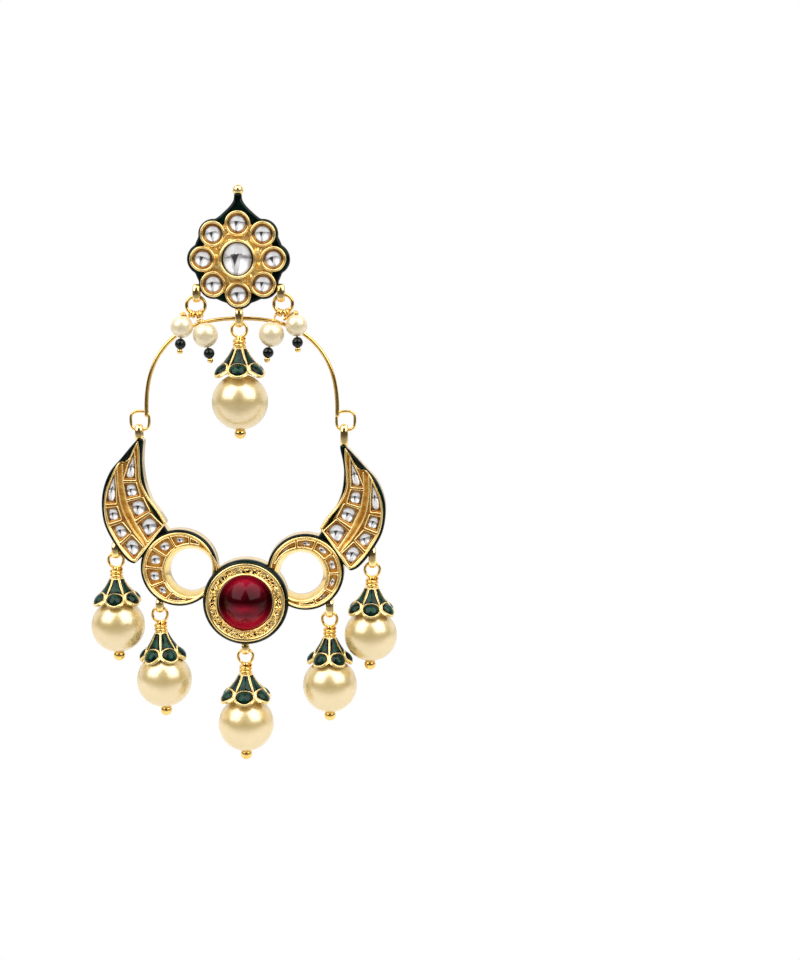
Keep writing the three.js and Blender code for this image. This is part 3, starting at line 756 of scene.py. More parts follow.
def wing(side, parts):
    outer = spline(on_wing(side, [WING_TIP, *WING_OUTER]))
    inner = spline(on_wing(side, [WING_TIP, *WING_INNER, WING_ROOT]))
    whole = Patch(outer, inner, **WING_LOOP)
    face = Patch(*[spline(on_wing(side, edge)) for edge in WING_FACE], **WING_LOOP)
    parts["back"].loft(levels(whole.loop, GOLD_WALL))
    parts["back"].loft(levels(face.loop, FACE_WALL))
    parts["enamel"].loft(levels(whole.loop, ENAMEL_WALL))
    parts["enamel"].sleeve(levels(face.loop, FACE_ENAMEL))
    parts["rims"].sleeve(levels(face.loop, FACE_LIP))
    parts["channel"].loft(levels(face.loop, FACE_GROUND))
    cabochon(parts["enamel"], on_wing(side, TIP_ENAMEL), -1.3, 0.3)
    for edges in WING_CELLS:
        cell(Patch(*[on_wing(side, edge) for edge in edges]), parts)
    first, second = [resample(spline(on_wing(side, edge), 6), 40) for edge in SPINE]
    parts["channel"].sheet([front(first * (1 - t) + second * t, y) for t, y in TROUGH])
    for edge in (first, second):
        path = front(edge, TROUGH_WIRE["depth"])
        wire(parts["cells"], path, TROUGH_WIRE["radius"], DEPTH, 8)


RING = {"out": 11.34, "up": 0.0, "radius": 6.95, "seat": 0.95, "floor": -1.24}
HOLE = {"out": 9.9, "up": -0.5, "shift": 0.66, "radius": 3.87, "front": 4.62, "seat": 0.28}
# From the upper horn round the far side to the lower horn.
RING_TURN = np.linspace(math.radians(-14), math.radians(321), 120)
RING_CUTS = (12, 72, 108, 144, 180, 216, 250, 306)  # degrees at which its cells are parted

# (inset from the ring's edge, depth)
RING_WALL = [(0.2, 1.86), (0.0, 1.8), (-0.06, 1.66), (0, -0.2), (0.02, -0.55), (0.08, -0.66),
             (0.4, -0.66)]
RING_LIP = [(0.48, -1.0), (0.45, -1.48), (0.5, -1.62), (0.6, -1.71), (0.72, -1.73), (0.84, -1.66),
            (0.92, -1.52), (0.96, -1.2), (0.98, -0.9)]
# (out from the front edge of the hole, depth)
HOLE_LIP = [(0.34, -1.2), (0.32, -1.55), (0.26, -1.66), (0.14, -1.7), (0.02, -1.64),
            (-0.08, -1.5), (-0.12, -1.4)]
HOLE_SLOPE = [(-0.1, -1.46), (-0.3, -1.1), (-0.52, -0.6)]
# (out from the wall of the hole, depth)
HOLE_WALL = [(0.06, 0.0), (0, 0.6), (0, 1.66), (0.06, 1.8), (0.2, 1.86)]


def ring_arc(centre, radius, side, angle=RING_TURN):
    """Points (x, z) of a circle, counted up from the side of the ruby."""
    across = side * radius * np.cos(angle)
    return np.stack([centre[0] - across, centre[1] + radius * np.sin(angle)], axis=1)


def ring(side, parts):
    centre = np.array([side * RING["out"], RING["up"]])
    hole = np.array([side * HOLE["out"] + HOLE["shift"], HOLE["up"]])

    def edge(d):
        return ring_arc(centre, RING["radius"] - d, side)

    def mouth(d):
        return ring_arc(hole, HOLE["front"] + d, side)

    def bore(d):
        return ring_arc(hole, HOLE["radius"] + d, side)
    parts["back"].sheet(levels(bore, HOLE_WALL[-1:]) + levels(edge, RING_WALL))
    parts["enamel"].sheet(levels(edge, ENAMEL_WALL))
    parts["rims"].sheet(levels(edge, RING_LIP))
    parts["channel"].sheet([front(edge(RING["seat"]), RING["floor"]),
                            front(mouth(HOLE["seat"]), RING["floor"])])
    parts["rims"].sheet(levels(mouth, HOLE_LIP))
    parts["bright"].sheet(levels(mouth, HOLE_SLOPE) + levels(bore, HOLE_WALL))
    # a cell stops short where the ring gets too narrow for it
    gap, outside, inside, least = 1.2, RING["radius"] - 1.02, HOLE["front"] + 0.42, 0.3
    for start, stop in zip(RING_CUTS[:-1], RING_CUTS[1:]):
        angle = np.radians(np.linspace(start + gap, stop - gap, 40))
        far = ring_arc(centre, outside, side, angle)
        reach = far - hole
        near = hole + unit(reach) * inside
        open_enough = np.linalg.norm(reach, axis=1) - inside > least
        cell(Patch(far[open_enough], near[open_enough]), parts)


# (inset from the disc's edge, depth)
DISC_WALL = [(0.6, 1.9), (0.25, 1.9), (0.06, 1.84), (0, 1.7), (0, -1.2), (0.1, -1.35), (0.6, -1.35)]
DISC_ENAMEL = [(0.3, -0.9), (0.02, -1.2), (-0.01, -1.35), (0, -1.8), (0.04, -2.2), (0.15, -2.44),
               (0.34, -2.68), (0.52, -2.84), (0.62, -2.86), (0.75, -2.6)]
# (radius, depth)
BAND_BED = [(6.5, -2.4), (6.45, -2.74), (5.36, -2.74), (5.3, -2.4)]
DISC_LIP = [(7.1, -2.4), (7.08, -2.96), (7.0, -3.06), (6.86, -3.1), (6.66, -3.08), (6.52, -3.0),
            (6.46, -2.92)]
RUBY_LIP = [(5.36, -2.92), (5.3, -3.02), (5.2, -3.08), (5.08, -3.06), (5.0, -2.98), (4.96, -2.8),
            (4.92, -2.0)]


def chased_band(turn):
    """Loops of the band round the ruby: short curved cuts and ridges at every angle."""
    thin, bend, reach, depth, relief, deepest, highest = 0.075, 1.6, 0.5, -2.88, 0.22, -1.3, 0.8
    chase = random.Random(11)
    marks = [(chase.uniform(0, TAU), chase.uniform(5.46, 6.38), chase.uniform(0, math.pi),
              chase.uniform(0.14, 0.34), chase.choice((-1, -1, 1))) for _ in range(360)]
    loops = []
    for radius in np.linspace(6.42, 5.4, 20):
        spot = circle((0, 0), radius, turn)
        height = np.zeros(len(turn))
        for angle, far, way, size, kind in marks:
            offset = spot - np.array([far * math.cos(angle), far * math.sin(angle)])
            if np.abs(offset).max(axis=1).min() >= reach:
                continue
            cos, sin = math.cos(way + angle), math.sin(way + angle)
            along, across = offset @ np.array([cos, sin]), offset @ np.array([-sin, cos])
            off = across - bend * along ** 2
            height += kind * np.exp(-(along / size) ** 2 - (off / thin) ** 2)
        level = depth - relief * np.clip(height, deepest, highest)
        loops.append(front(spot + [DISC["x"], DISC["z"]], level))
    return loops


def disc(parts):
    """The round middle: its wall, its enamel, and the gold front from its lip to the ruby's."""
    middle, radius = np.array([DISC["x"], 0, DISC["z"]]), DISC["radius"]
    wall = [(0, DISC_WALL[0][1])] + [(radius - d, y) for d, y in DISC_WALL]
    lathe(parts["back"], wall, middle, "y", 128)
    lathe(parts["enamel"], [(radius - d, y) for d, y in DISC_ENAMEL], middle, "y", 128, ends=None)
    lathe(parts["enamel"], BAND_BED, middle, "y", 96, ends=None)
    turn = full_turn(420)

    def at(radius):
        return circle((DISC["x"], DISC["z"]), radius, turn)
    loops = levels(at, DISC_LIP) + chased_band(turn) + levels(at, RUBY_LIP)
    parts["bright"].loft(loops, start=None)


RUBY_FOOT = 2.9  # how far its dome starts in front of the crescent's middle plane


def ruby_stone():
    shape = Shape()
    (left, top, _), (right, base, _) = low_of("ruby"), high_of("ruby")
    radius, rise = (right - left) / 2, -RUBY_FOOT - top
    profile = [(radius - 0.05, base), (radius, base - 0.1), (radius, -RUBY_FOOT)]
    for part in np.linspace(1, 0, 36)[1:]:
        profile.append((radius * part, -RUBY_FOOT - rise * (1 - part ** 2)))
    lathe(shape, profile, in_plane(ruby_at), "y", 96)
    return shape


OVERLAP = 0.2  # how far an eyelet is sunk in what carries it


def eyelet(shape, x, y, bottom, top, half=0.78, width=0.66, thick=0.33):
    """A plump strip of gold bent into a tall loop in the side plane, x across it."""
    tall, middle, angle = (top - bottom) / 2, (top + bottom) / 2, full_turn(120)
    up = np.sign(np.sin(angle)) * np.abs(np.sin(angle)) ** 0.8
    loop = np.stack([np.full(120, x), y + half * np.cos(angle), middle + tall * up], axis=1)
    wire(shape, resample(loop, 56, closed=True), thick, (1, 0, 0), 20, closed=True,
         wide=width / thick)


def seat_in(ring_at, inside, off=0.0, reach=0.65, gap=0.08):
    """How high an eyelet rests in a ring of this inner radius, when it is `off` to one side."""
    return ring_at[2] + math.sqrt(inside ** 2 - (reach + off) ** 2) - gap


DROP_EYELETS = {"left_outer_drop": 2.3, "left_inner_drop": 2.0, "centre_drop": 1.8,
                "right_inner_drop": 2.8, "right_outer_drop": 3.2}  # height over the drop's loop


def eyelets_of_crescent():
    """Two at the tips, and one over each drop."""
    shape = Shape()
    below_tip, bore = 0.3, 0.55
    hinge = low_of("hoop_wire")[2] + HOOK["wire"]
    for side in (-1, 1):
        tip = on_wing(side, [WING_TIP])[0]
        at = on_crescent(np.array([[tip[0], 0, tip[1] - below_tip]]))[0]
        eyelet(shape, at[0], HANG_Y, at[2] - OVERLAP, hinge + bore + OVERLAP)
    for name, tall in DROP_EYELETS.items():
        loop = loop_centre(name)
        seat = seat_in(loop, LOOP_INSIDE)
        eyelet(shape, loop[0], HANG_Y, seat - OVERLAP, seat + tall)
    return shape


# ---- pearl drops ----

# `stack` is the height of the wire loop over the pearl, in mm; angles are degrees.
DROPS = {
    "flower_drop": {"stack": 12.8, "turn": 0, "lean": 0, "body": "flower"},
    "left_outer_drop": {"stack": 11.9, "turn": 0, "lean": 1, "body": "crescent"},
    "left_inner_drop": {"stack": 12.0, "turn": 30, "lean": 3, "body": "crescent"},
    "centre_drop": {"stack": 12.4, "turn": 0, "lean": 0, "body": "crescent"},
    "right_inner_drop": {"stack": 12.1, "turn": 30, "lean": 0, "body": "crescent"},
    "right_outer_drop": {"stack": 11.9, "turn": 0, "lean": -1.5, "body": "crescent"},
}
LOOP_INSIDE = 1.1  # inner radius of a drop's wire loop
PIN_NECK = [(0.5, -1.2), (0.62, -1.4), (0.62, -3.3), (0.3, -3.4)]
BALL_COLLAR = [(0.25, 1.2), (0.55, 1.12), (0.6, 0.9), (0.3, 0.8)]

CAP = {"top": 3.15, "petals": 6}  # how far its top hangs under the middle of the wire loop
CAP_COLLAR = [(0.3, 0.05), (0.7, 0.1), (0.98, 0.02), (1.05, -0.2), (0.9, -0.45), (0.3, -0.5)]
OVAL_RIM = [(-0.14, -0.1), (-0.14, 0.08), (-0.1, 0.18), (-0.04, 0.22), (0.02, 0.18), (0.05, 0.0),
            (0.05, -0.1)]
PANEL_RINGS = (1.0, 0.94, 0.85, 0.72, 0.56, 0.38, 0.2)


def loop_centre(name):
    """The middle of a drop's wire loop, over its pearl along its lean."""
    lean, stack = math.radians(DROPS[name]["lean"]), DROPS[name]["stack"]
    return centre_of(name + "_pearl") + [-math.sin(lean) * stack, 0, math.cos(lean) * stack]


def cap_profile(height, flare):
    """The outside of a bead cap from its top to its rim: straight slopes, then round lobes."""
    return np.array([(0.95, 0), (1.15, -0.1), (1.0 + (flare - 1) * 0.28, -height * 0.27),
                     (1.0 + (flare - 1) * 0.6, -height * 0.53),
                     (1.0 + (flare - 1) * 0.84, -height * 0.72),
                     (flare * 0.995, -height * 0.87), (flare * 1.02, -height)])


class Petal:
    """One petal of a cap: p runs across it and q down it, in mm, and h stands out of it."""

    STEP = 0.05  # half the length that its slope is measured over

    def __init__(self, height, flare, middle):
        self.curve = spline(cap_profile(height, flare))
        steps = np.linalg.norm(np.diff(self.curve, axis=0), axis=1)
        self.run = np.concatenate([[0], np.cumsum(steps)])
        self.middle = middle
        self.long = self.run[-1]

    def side(self, q):
        """The cap's radius and height at q."""
        return np.array([np.interp(q, self.run, self.curve[:, k]) for k in (0, 1)])

    def half(self, q):
        return self.side(q)[0] * math.pi / CAP["petals"]

    def crown(self, p, q, rise=0.46, fall=0.2):
        """A petal is crowned low down: its middle stands proud and its sides fall back."""
        across = np.abs(p / self.half(q))
        across = np.where(across > 1, 2 - across, across)
        down = np.clip((np.clip(q / self.long, 0, 1) - 0.4) / 0.45, 0, 1)
        return (rise * (1 - across ** 2) - fall) * down ** 1.3

    def at(self, p, q, h):
        p, q = np.broadcast_arrays(np.asarray(p, float), np.asarray(q, float))
        r, z = self.side(q)
        dr, dz = self.side(q + self.STEP) - self.side(q - self.STEP)
        size = np.hypot(dr, dz) + 1e-9
        out = h + self.crown(p, q)
        radius = r + out * (-dz / size)
        angle = self.middle + p / np.maximum(r, 0.3)
        return np.stack([radius * np.sin(angle), -radius * np.cos(angle), z + out * (dr / size)],
                        axis=-1)


def leaf(petal, metal, thick=0.35, lobe=0.17, narrow=0.05):
    """The gold leaf itself: a shell whose rim is a round lobe, a little narrower than the cap."""
    columns = np.linspace(-1, 1, 17)
    outside, inside = [], []
    for v in np.linspace(0, 1, 22):
        q = v * petal.long * (1 - lobe * v ** 6 * np.abs(columns) ** 2.4)
        p = columns * petal.half(q) * (1 - narrow * v ** 8)
        outside.append(petal.at(p, q, 0.0))
        inside.append(petal.at(p, q, -thick))
    metal.sheet(outside + inside[::-1], wrap=True)


def oval_and_triangle(petal, flare):
    """Outlines (p, q) of a petal's panels: an oval, and over it a triangle that ends in its arc."""
    # the oval's half width is that of the usual cap, whose flare is 4.3
    mid, tall, wide = 0.745 * petal.long, 0.19 * petal.long, 1.57 * flare / 4.3
    angle = full_turn(48)
    oval = [wide * np.cos(angle) * (1 + 0.05 * np.cos(angle) ** 8), mid + tall * np.sin(angle)]
    top, low, gap_down, gap_out = 0.06 * petal.long, mid - 0.72 * tall, 0.24, 0.36
    down = np.linspace(top, low, 14)
    edge = petal.half(down) * np.linspace(0.7, 0.93, 14)
    arc = np.linspace(edge[-1], -edge[-1], 11)[1:-1]
    over = mid - (tall + gap_down) * np.sqrt(1 - (arc / (wide + gap_out)) ** 2)
    triangle = np.hstack([(edge, down), (arc, over), (-edge[::-1], down[::-1])]).T
    return np.stack(oval, axis=1), rounded(resample(triangle, 60, closed=True), 1)


def panel(petal, outline, dome, panels):
    """A low dome of enamel over an outline (p, q), marked with the place of every point on it."""
    middle = outline.mean(axis=0)
    way = unit((outline - middle) * [1, -1])
    steps = [(1.0, -0.08)] + [(part, 0.03 + dome * (1 - part ** 2.4)) for part in PANEL_RINGS]
    panels.loft([petal.at(*(middle + (outline - middle) * part).T, h) for part, h in steps],
                start=None, end="fan", marks=[0.5 + 0.5 * way * part for part, _ in steps])


def bead_cap(height, flare, turn):
    """The gold and the enamel of a cap that hangs from the origin."""
    triangle_dome, oval_dome, rib_from, rib_to, rib_out, rib_radius = (
        0.08, 0.34, 0.02, 0.62, 0.04, 0.085)
    metal, panels = Shape(), Shape()
    for k in range(CAP["petals"]):
        petal = Petal(height, flare, math.radians(turn) + TAU * k / CAP["petals"])
        leaf(petal, metal)
        oval, triangle = oval_and_triangle(petal, flare)
        edge = counter_clockwise(oval)
        metal.sleeve([petal.at(*inset(edge, d).T, h) for d, h in OVAL_RIM])
        panel(petal, triangle, triangle_dome, panels)
        panel(petal, oval, oval_dome, panels)
        # the rib that it shares with its neighbour
        down = np.linspace(rib_from, rib_to, 16) * petal.long
        way = petal.middle + math.pi / CAP["petals"]
        rib = petal.at(petal.half(down), down, rib_out)
        wire(metal, rib, rib_radius, (math.sin(way), -math.cos(way), 0.3), 8)
    lathe(metal, CAP_COLLAR, np.zeros(3), "z", 32)
    return metal, panels


def drop_pin(stack, pearl_radius):
    """One headed wire that hangs from the origin: loop, coil, shaft and end ball."""
    loop, loop_wire, shaft, shaft_top, ball, ball_in_pearl = 1.34, 0.26, 0.28, -3.2, 1.03, 0.4
    coil, coil_wire, coil_top, coil_pitch, coil_turns = 0.84, 0.36, -1.62, 0.66, 2.35
    pin = Shape()
    wire(pin, front(circle((0, 0), loop, full_turn(40)), 0.0), loop_wire, DEPTH, 12, closed=True)
    turns = np.linspace(0, TAU * coil_turns, 70)
    fall = coil_top - coil_pitch * turns / TAU
    winding = [coil * np.cos(turns), coil * np.sin(turns), fall]
    wire(pin, np.stack(winding, axis=1), coil_wire, UP, 10)
    lathe(pin, PIN_NECK, np.zeros(3), "z", 20)
    low = np.array([0, 0, -(stack + pearl_radius + ball - ball_in_pearl)])
    wire(pin, [(0, 0, shaft_top), (0, 0, -8), low], shaft, DEPTH, 8)
    bead(pin, low, ball, 28)
    lathe(pin, BALL_COLLAR, low, "z", 20)
    return pin


def drop(name):
    facts = DROPS[name]
    stack, body = facts["stack"], facts["body"]
    radius = max(size_of(name + "_pearl")) / 2
    move = leaned(loop_centre(name), facts["lean"])
    pin = drop_pin(stack, radius)
    piece(name + "_wire", pin.moved(move), WIRE_GOLD, body, "gold", name + "_pin")

    # the CAD cap's size without its crown and its lowest lobes
    cap = size_of(name + "_cap")
    metal, panels = bead_cap(cap[2] * 0.95, cap[1] / 2 / 1.07, facts["turn"])

    def hung(points):
        return move(points - [0, 0, CAP["top"]])
    piece(name + "_cap_gold", metal.moved(hung), RIM_GOLD, body, "gold")
    piece(name + "_cap_enamel", panels.moved(hung), PANEL, body, "enamel", name + "_cap")

    pearl = Shape()
    bead(pearl, np.array([0, 0, -stack]), radius, 72, bore=0.6)
    piece(name + "_pearl_bead", pearl.moved(move), PEARL, body, "pearl", name + "_pearl")


# ---- flower stud ----

PETALS = 8
# (radius, depth)
BEZEL = [(2.2, -1.0), (2.28, -1.4), (2.27, -2.9), (2.22, -3.08), (2.12, -3.18), (2.0, -3.2),
         (1.9, -3.16), (1.82, -3.04), (1.78, -2.9)]
CUP = [(1.84, -3.06), (1.77, -3.0), (1.66, -2.84), (1.56, -2.72), (1.44, -2.64), (0.4, -2.5)]
CENTRE_BEZEL = [(3.3, -1.0), (3.4, -1.6), (3.39, -3.7), (3.33, -3.94), (3.2, -4.07), (3.05, -4.1),
                (2.95, -4.04), (2.88, -3.9), (2.82, -3.6)]
CENTRE_CUP = [(2.9, -3.94), (2.84, -3.6), (2.78, -3.3), (2.7, -3.1), (0.4, -3.05)]
PETAL_STONE = {"radius": 1.38, "base": -2.7, "rise": 0.42}
CENTRE_STONE = {"radius": 2.68, "base": -3.72, "rise": 0.85}
# (inset from the outline, depth)
STUD_WALL = [(0.14, 0.0), (0, -0.14), (0, -0.8), (0.06, -0.9), (0.4, -0.9)]
STUD_ENAMEL = [(0.25, -0.7), (0.04, -0.82), (-0.01, -0.95), (0, -1.5), (0.05, -1.8), (0.18, -1.98),
               (0.4, -2.09), (0.8, -2.12), (1.2, -2.0)]
NECK_SIDE = [(0.7, 11.4), (0.76, 10.4), (1.4, 9.35), (2.4, 8.36), (3.3, 7.55), (4.1, 7.0)]
TIP_COLLAR = [(0.5, 11.0), (0.62, 11.2), (0.6, 11.45), (0.4, 11.6)]


def petal_at(number):
    return in_plane(centre_of(f"petal_stone_{number}"))


def round_stone(stone, middle, vary, turned=0.0):
    """A round foiled stone: `vary` maps an angle to a factor on the radius."""
    shape = Shape()
    turn = full_turn(STONE_SIDES)
    outline = circle((middle[0], middle[2]), stone["radius"] * vary(turn), turn)
    cabochon(shape, outline, stone["base"], stone["rise"], foot=0.5, turned=turned)
    return shape


def flower_outline(count=320, round_radius=8.03, lobes_at=6.2, lobe_radius=2.62, tip=11.4):
    """Eight lobes with shallow notches and a pointed neck, as seen from the middle."""
    turn = full_turn(count * 4)
    ray = circle((0, 0), 1, turn)
    reach = np.full(len(turn), round_radius)
    for k in range(PETALS):
        angle = math.pi / 2 + TAU * k / PETALS
        cos, sin = math.cos(angle), math.sin(angle)
        # the lobes at either side are larger and stand out furthest
        out = lobes_at * (1 + 0.012 * math.cos(2 * angle) ** 2 * abs(cos))
        size = lobe_radius + 0.2 * abs(cos) ** 4
        along, off = ray @ [cos, sin], out * np.abs(ray[:, 0] * sin - ray[:, 1] * cos)
        lobe = along * out + np.sqrt(np.maximum(0, size ** 2 - off ** 2))
        reach = np.where((off < size) & (along > 0), np.maximum(reach, lobe), reach)
    # the neck: narrow above, spreading like a tent over the top lobe
    lean = np.abs(turn - math.pi / 2)
    side = spline(NECK_SIDE)
    angle = math.pi / 2 - np.arctan2(side[:, 1], side[:, 0])
    flare = np.interp(lean, angle, np.hypot(side[:, 0], side[:, 1]), right=0)
    flat = tip / np.cos(np.minimum(lean, 0.2))
    reach = np.maximum(reach, np.where(lean < angle[0], flat, flare))
    # everywhere but at the neck the notches are worn a little
    worn = np.convolve(np.concatenate([reach[-4:], reach, reach[:4]]), np.ones(9) / 9, "valid")
    reach = np.where(lean < 0.35, reach, worn)
    return resample(ray * reach[:, None], count, closed=True)


def rough_ground(inside=3.1, outside=6.1, level=-2.42, highest=-2.85, under_cups=-2.2):
    """The gold between the cups: a lumpy plate, as if poured round them, with a step at its rim."""
    shape, lumps = Shape(), random.Random(5)
    spots = [(lumps.uniform(3.2, 6.0), lumps.uniform(0, TAU), lumps.uniform(0.22, 0.5),
              lumps.uniform(0.05, 0.17)) for _ in range(170)]
    cups = [(petal_at(k + 1), 2.05) for k in range(PETALS)] + [(np.zeros(3), 3.15)]
    turn = full_turn(300)
    loops = []
    for r in np.concatenate([[6.5, 6.3], np.linspace(outside, inside, 34), [0.5]]):
        x, z = circle((0, 0), r, turn).T
        y = np.full(len(turn), level + (0.3 if r > outside else 0))
        if inside <= r <= outside:
            for far, angle, size, tall in spots:
                if abs(far - r) < 3 * size:
                    gap = (x - far * math.cos(angle)) ** 2 + (z - far * math.sin(angle)) ** 2
                    y -= tall * np.exp(-gap / size ** 2)
        y = np.maximum(y, highest)
        for at, radius in cups:
            y = np.where(np.hypot(x - at[0], z - at[2]) < radius, under_cups, y)
        loops.append(np.stack([x, y, z], axis=1))
    shape.loft(loops, start=None)
    return shape


def petal_setting(number, parts):
    """One petal's setting and stone, both uneven in the same way."""
    middle, phase = petal_at(number), random.uniform(0, TAU)

    def vary(turn):
        return 1 + 0.012 * np.sin(2 * turn + phase) + 0.006 * np.sin(5 * turn + 2 * phase)
    lathe(parts["setting"], BEZEL, middle, "y", 56, vary, None)
    lathe(parts["cups"], CUP, middle, "y", 48, vary, None)
    stone = round_stone(PETAL_STONE, middle, vary, random.uniform(-0.35, 0.35))
    piece(f"petal_glass_{number}", stone, KUNDAN, "flower", "kundan", f"petal_stone_{number}")


def upright(by):
    """An oval that is taller than wide, as a factor on the radius at an angle."""
    return lambda turn: 1 + by * (np.sin(turn) ** 2 - np.cos(turn) ** 2)


def centre_setting(parts):
    oval, taller = upright(0.03), upright(0.035)
    lathe(parts["setting"], CENTRE_BEZEL, np.zeros(3), "y", 96, oval, None)
    lathe(parts["cups"], CENTRE_CUP, np.zeros(3), "y", 96, oval, None)
    stone = round_stone(CENTRE_STONE, np.zeros(3), lambda turn: oval(turn) * taller(turn))
    piece("centre_glass", stone, KUNDAN, "flower", "kundan", "flower_centre_stone")


def stud_loops():
    """The ball at the tip, and the three eyelets."""
    shape = Shape()
    ball, y, under_hoop, top = 0.95, -1.05, 1.72, -8.6
    side_x, ring_inside, tall = 7.45, 1.34, 2.5
    bead(shape, np.array([0, y, high_of("flower_frame")[2] - ball]), ball)
    lathe(shape, TIP_COLLAR, np.array([0, y, 0]), "z", 24)
    eyelet(shape, 0, HANG_Y, high_of("hoop_wire")[2] - under_hoop, top)
    for x, name in ((-side_x, "left_jump_ring"), (side_x, "right_jump_ring")):
        ring_at = centre_of(name)
        seat = seat_in(ring_at, ring_inside, abs(ring_at[0] - x))
        eyelet(shape, x, ring_at[1], seat - OVERLAP, seat + tall)
    return shape


FLOWER_LOOKS = {"back": (PLAIN_GOLD, "gold"), "enamel": (ENAMEL, "enamel"),
                "setting": (SETTING_GOLD, "gold"), "eyelets": (GOLD, "gold"),
                "ground": (GROUND_GOLD, "gold"), "cups": (PAINTED_SHADE_SLOPE_GOLD, "gold")}


def flower():
    parts = {part: Shape() for part in FLOWER_LOOKS}
    outline = flower_outline()

    def edge(d):
        return inset(outline, d)
    parts["back"].loft(levels(edge, STUD_WALL))
    parts["enamel"].loft(levels(edge, STUD_ENAMEL))
    parts["ground"] = rough_ground()
    for k in range(PETALS):
        petal_setting(k + 1, parts)
    centre_setting(parts)
    parts["eyelets"] = stud_loops()
    soldered("flower", parts, FLOWER_LOOKS)


# Flange, neck, shaft with a groove near its end, and tip: (radius, distance from its end).
POST = {"radius": 0.45, "groove": 0.35}
POST_FOOT = [(0.3, 0.02), (1.7, 0.02), (1.8, 0.12), (1.8, 0.7), (1.7, 0.86), (0.7, 0.95),
             (0.5, 1.15), (POST["radius"], 1.4)]
POST_END = [(POST["radius"], 2.6), (POST["groove"], 2.4), (POST["groove"], 2.1),
            (POST["radius"], 1.9), (POST["radius"], 0.5), (0.3, 0.1), (0.1, 0)]


def post():
    shape = Shape()
    length = high_of("ear_post")[1]
    profile = POST_FOOT + [(radius, length - d) for radius, d in POST_END]
    lathe(shape, profile, np.zeros(3), "y", 40)
    piece("post", shape, GOLD, "flower", "gold", "ear_post")


# ---- hoop ----

HOOP = {"x": 0.32, "feet": -27.0, "half": 17.0, "power": 2.43, "radius": 0.36, "wire": 0.4}
HOOK = {"half": 1.64, "rise": 1.66, "power": 3.0, "radius": 0.25, "wire": 0.27}


def hoop():
    shape = Shape()
    low, high = low_of("hoop_wire"), high_of("hoop_wire")
    rise = high[2] - HOOP["wire"] - HOOP["feet"]
    past, gap = 0.02, 0.03  # radians that the arch runs past its feet and a hook stops short
    arch = superarc(HOOP["half"], rise, HOOP["power"], -past, math.pi + past, 160)
    wire(shape, front(arch + [HOOP["x"], HOOP["feet"]], HANG_Y), HOOP["radius"], DEPTH, 14)
    half = HOOK["half"] + HOOK["wire"]
    up = low[2] + HOOK["wire"] + HOOK["rise"]
    for x, start in ((low[0] + half, math.pi / 4), (high[0] - half, 3 * math.pi / 4)):
        ends = start + gap, start + TAU - gap
        loop = superarc(HOOK["half"], HOOK["rise"], HOOK["power"], *ends, 70)
        wire(shape, front(loop + [x, up], HANG_Y), HOOK["radius"], DEPTH, 12)
    piece("hoop", shape, WIRE_GOLD, "hoop", "gold", "hoop_wire")


# ---- side rings and small pearls ----

SIDE_RING = {"radius": 1.64, "wire": 0.3}
# `at` is the place on the ring and `lean` the lean to one side, in degrees.
DANGLES = {
    "left_outer_dangle": {"ring": "left_jump_ring", "at": 248, "lean": -6},
    "left_inner_dangle": {"ring": "left_jump_ring", "at": 292, "lean": 11},
    "right_inner_dangle": {"ring": "right_jump_ring", "at": 248, "lean": -11},
    "right_outer_dangle": {"ring": "right_jump_ring", "at": 292, "lean": 3},
}
HIDDEN_COLLAR = [(0.2, 0), (0.36, 0.06), (0.38, 0.24), (0.2, 0.3)]
SMALL_BEAD = {"radius": 0.97, "gap": 0.08}


def side_ring(name):
    shape = Shape()
    path = front(circle((0, 0), SIDE_RING["radius"], full_turn(56)), 0.0) + centre_of(name)
    wire(shape, path, SIDE_RING["wire"], DEPTH, 12, closed=True)
    piece(name.replace("jump", "side"), shape, WIRE_GOLD, "flower", "gold", name)


def dangle_pin(ring_at, at, middle, radius, down):
    """A wire that is wound round the ring, drops through the pearl and ends in a ball."""
    pin, wire_radius, coil_radius, turns_made, pitch = Shape(), 0.2, 0.56, 2.6, 0.46
    knot_radius, knot_wire, knot_turns, knot_pitch = 0.34, 0.16, 1.8, 0.18
    lead_over_pearl, knot_over_pearl, ball, ball_low = 0.25, 0.12, 0.52, 0.3
    outward = np.array([math.cos(at), 0, math.sin(at)])
    along_ring = np.array([-math.sin(at), 0, math.cos(at)])
    turns = np.linspace(0, TAU * turns_made, 60)
    coil = (ring_at + SIDE_RING["radius"] * outward
            + np.outer(coil_radius * np.cos(turns), outward)
            + np.outer(coil_radius * np.sin(turns), DEPTH)
            + np.outer((turns / TAU - turns_made / 2) * pitch, along_ring))
    wire(pin, coil, wire_radius, along_ring, 8)
    top = middle - down * (radius + lead_over_pearl)
    bow = coil[0] + 0.5 * (down + np.array([0, -0.8, 0]))
    lead = spline([coil[0], bow, top - 0.3 * down, top + down * 0.6])
    wire(pin, lead, wire_radius, (1, 0, 0.02), 8)
    # this collar stands at the frame's origin, where the post's flange hides it
    lathe(pin, HIDDEN_COLLAR, np.zeros(3), "z", 16)
    over = middle - down * (radius + knot_over_pearl)
    knot = [over + knot_radius * np.array([math.cos(a), math.sin(a), 0])
            - down * knot_pitch * a / TAU for a in np.linspace(0, TAU * knot_turns, 40)]
    wire(pin, knot, knot_wire, UP, 8)
    end = middle + down * (radius + SMALL_BEAD["gap"] + 2 * SMALL_BEAD["radius"]) - [0, 0, ball_low]
    wire(pin, [middle + down * radius * 0.9, end], wire_radius, DEPTH, 8)
    bead(pin, end, ball, 20)
    return pin


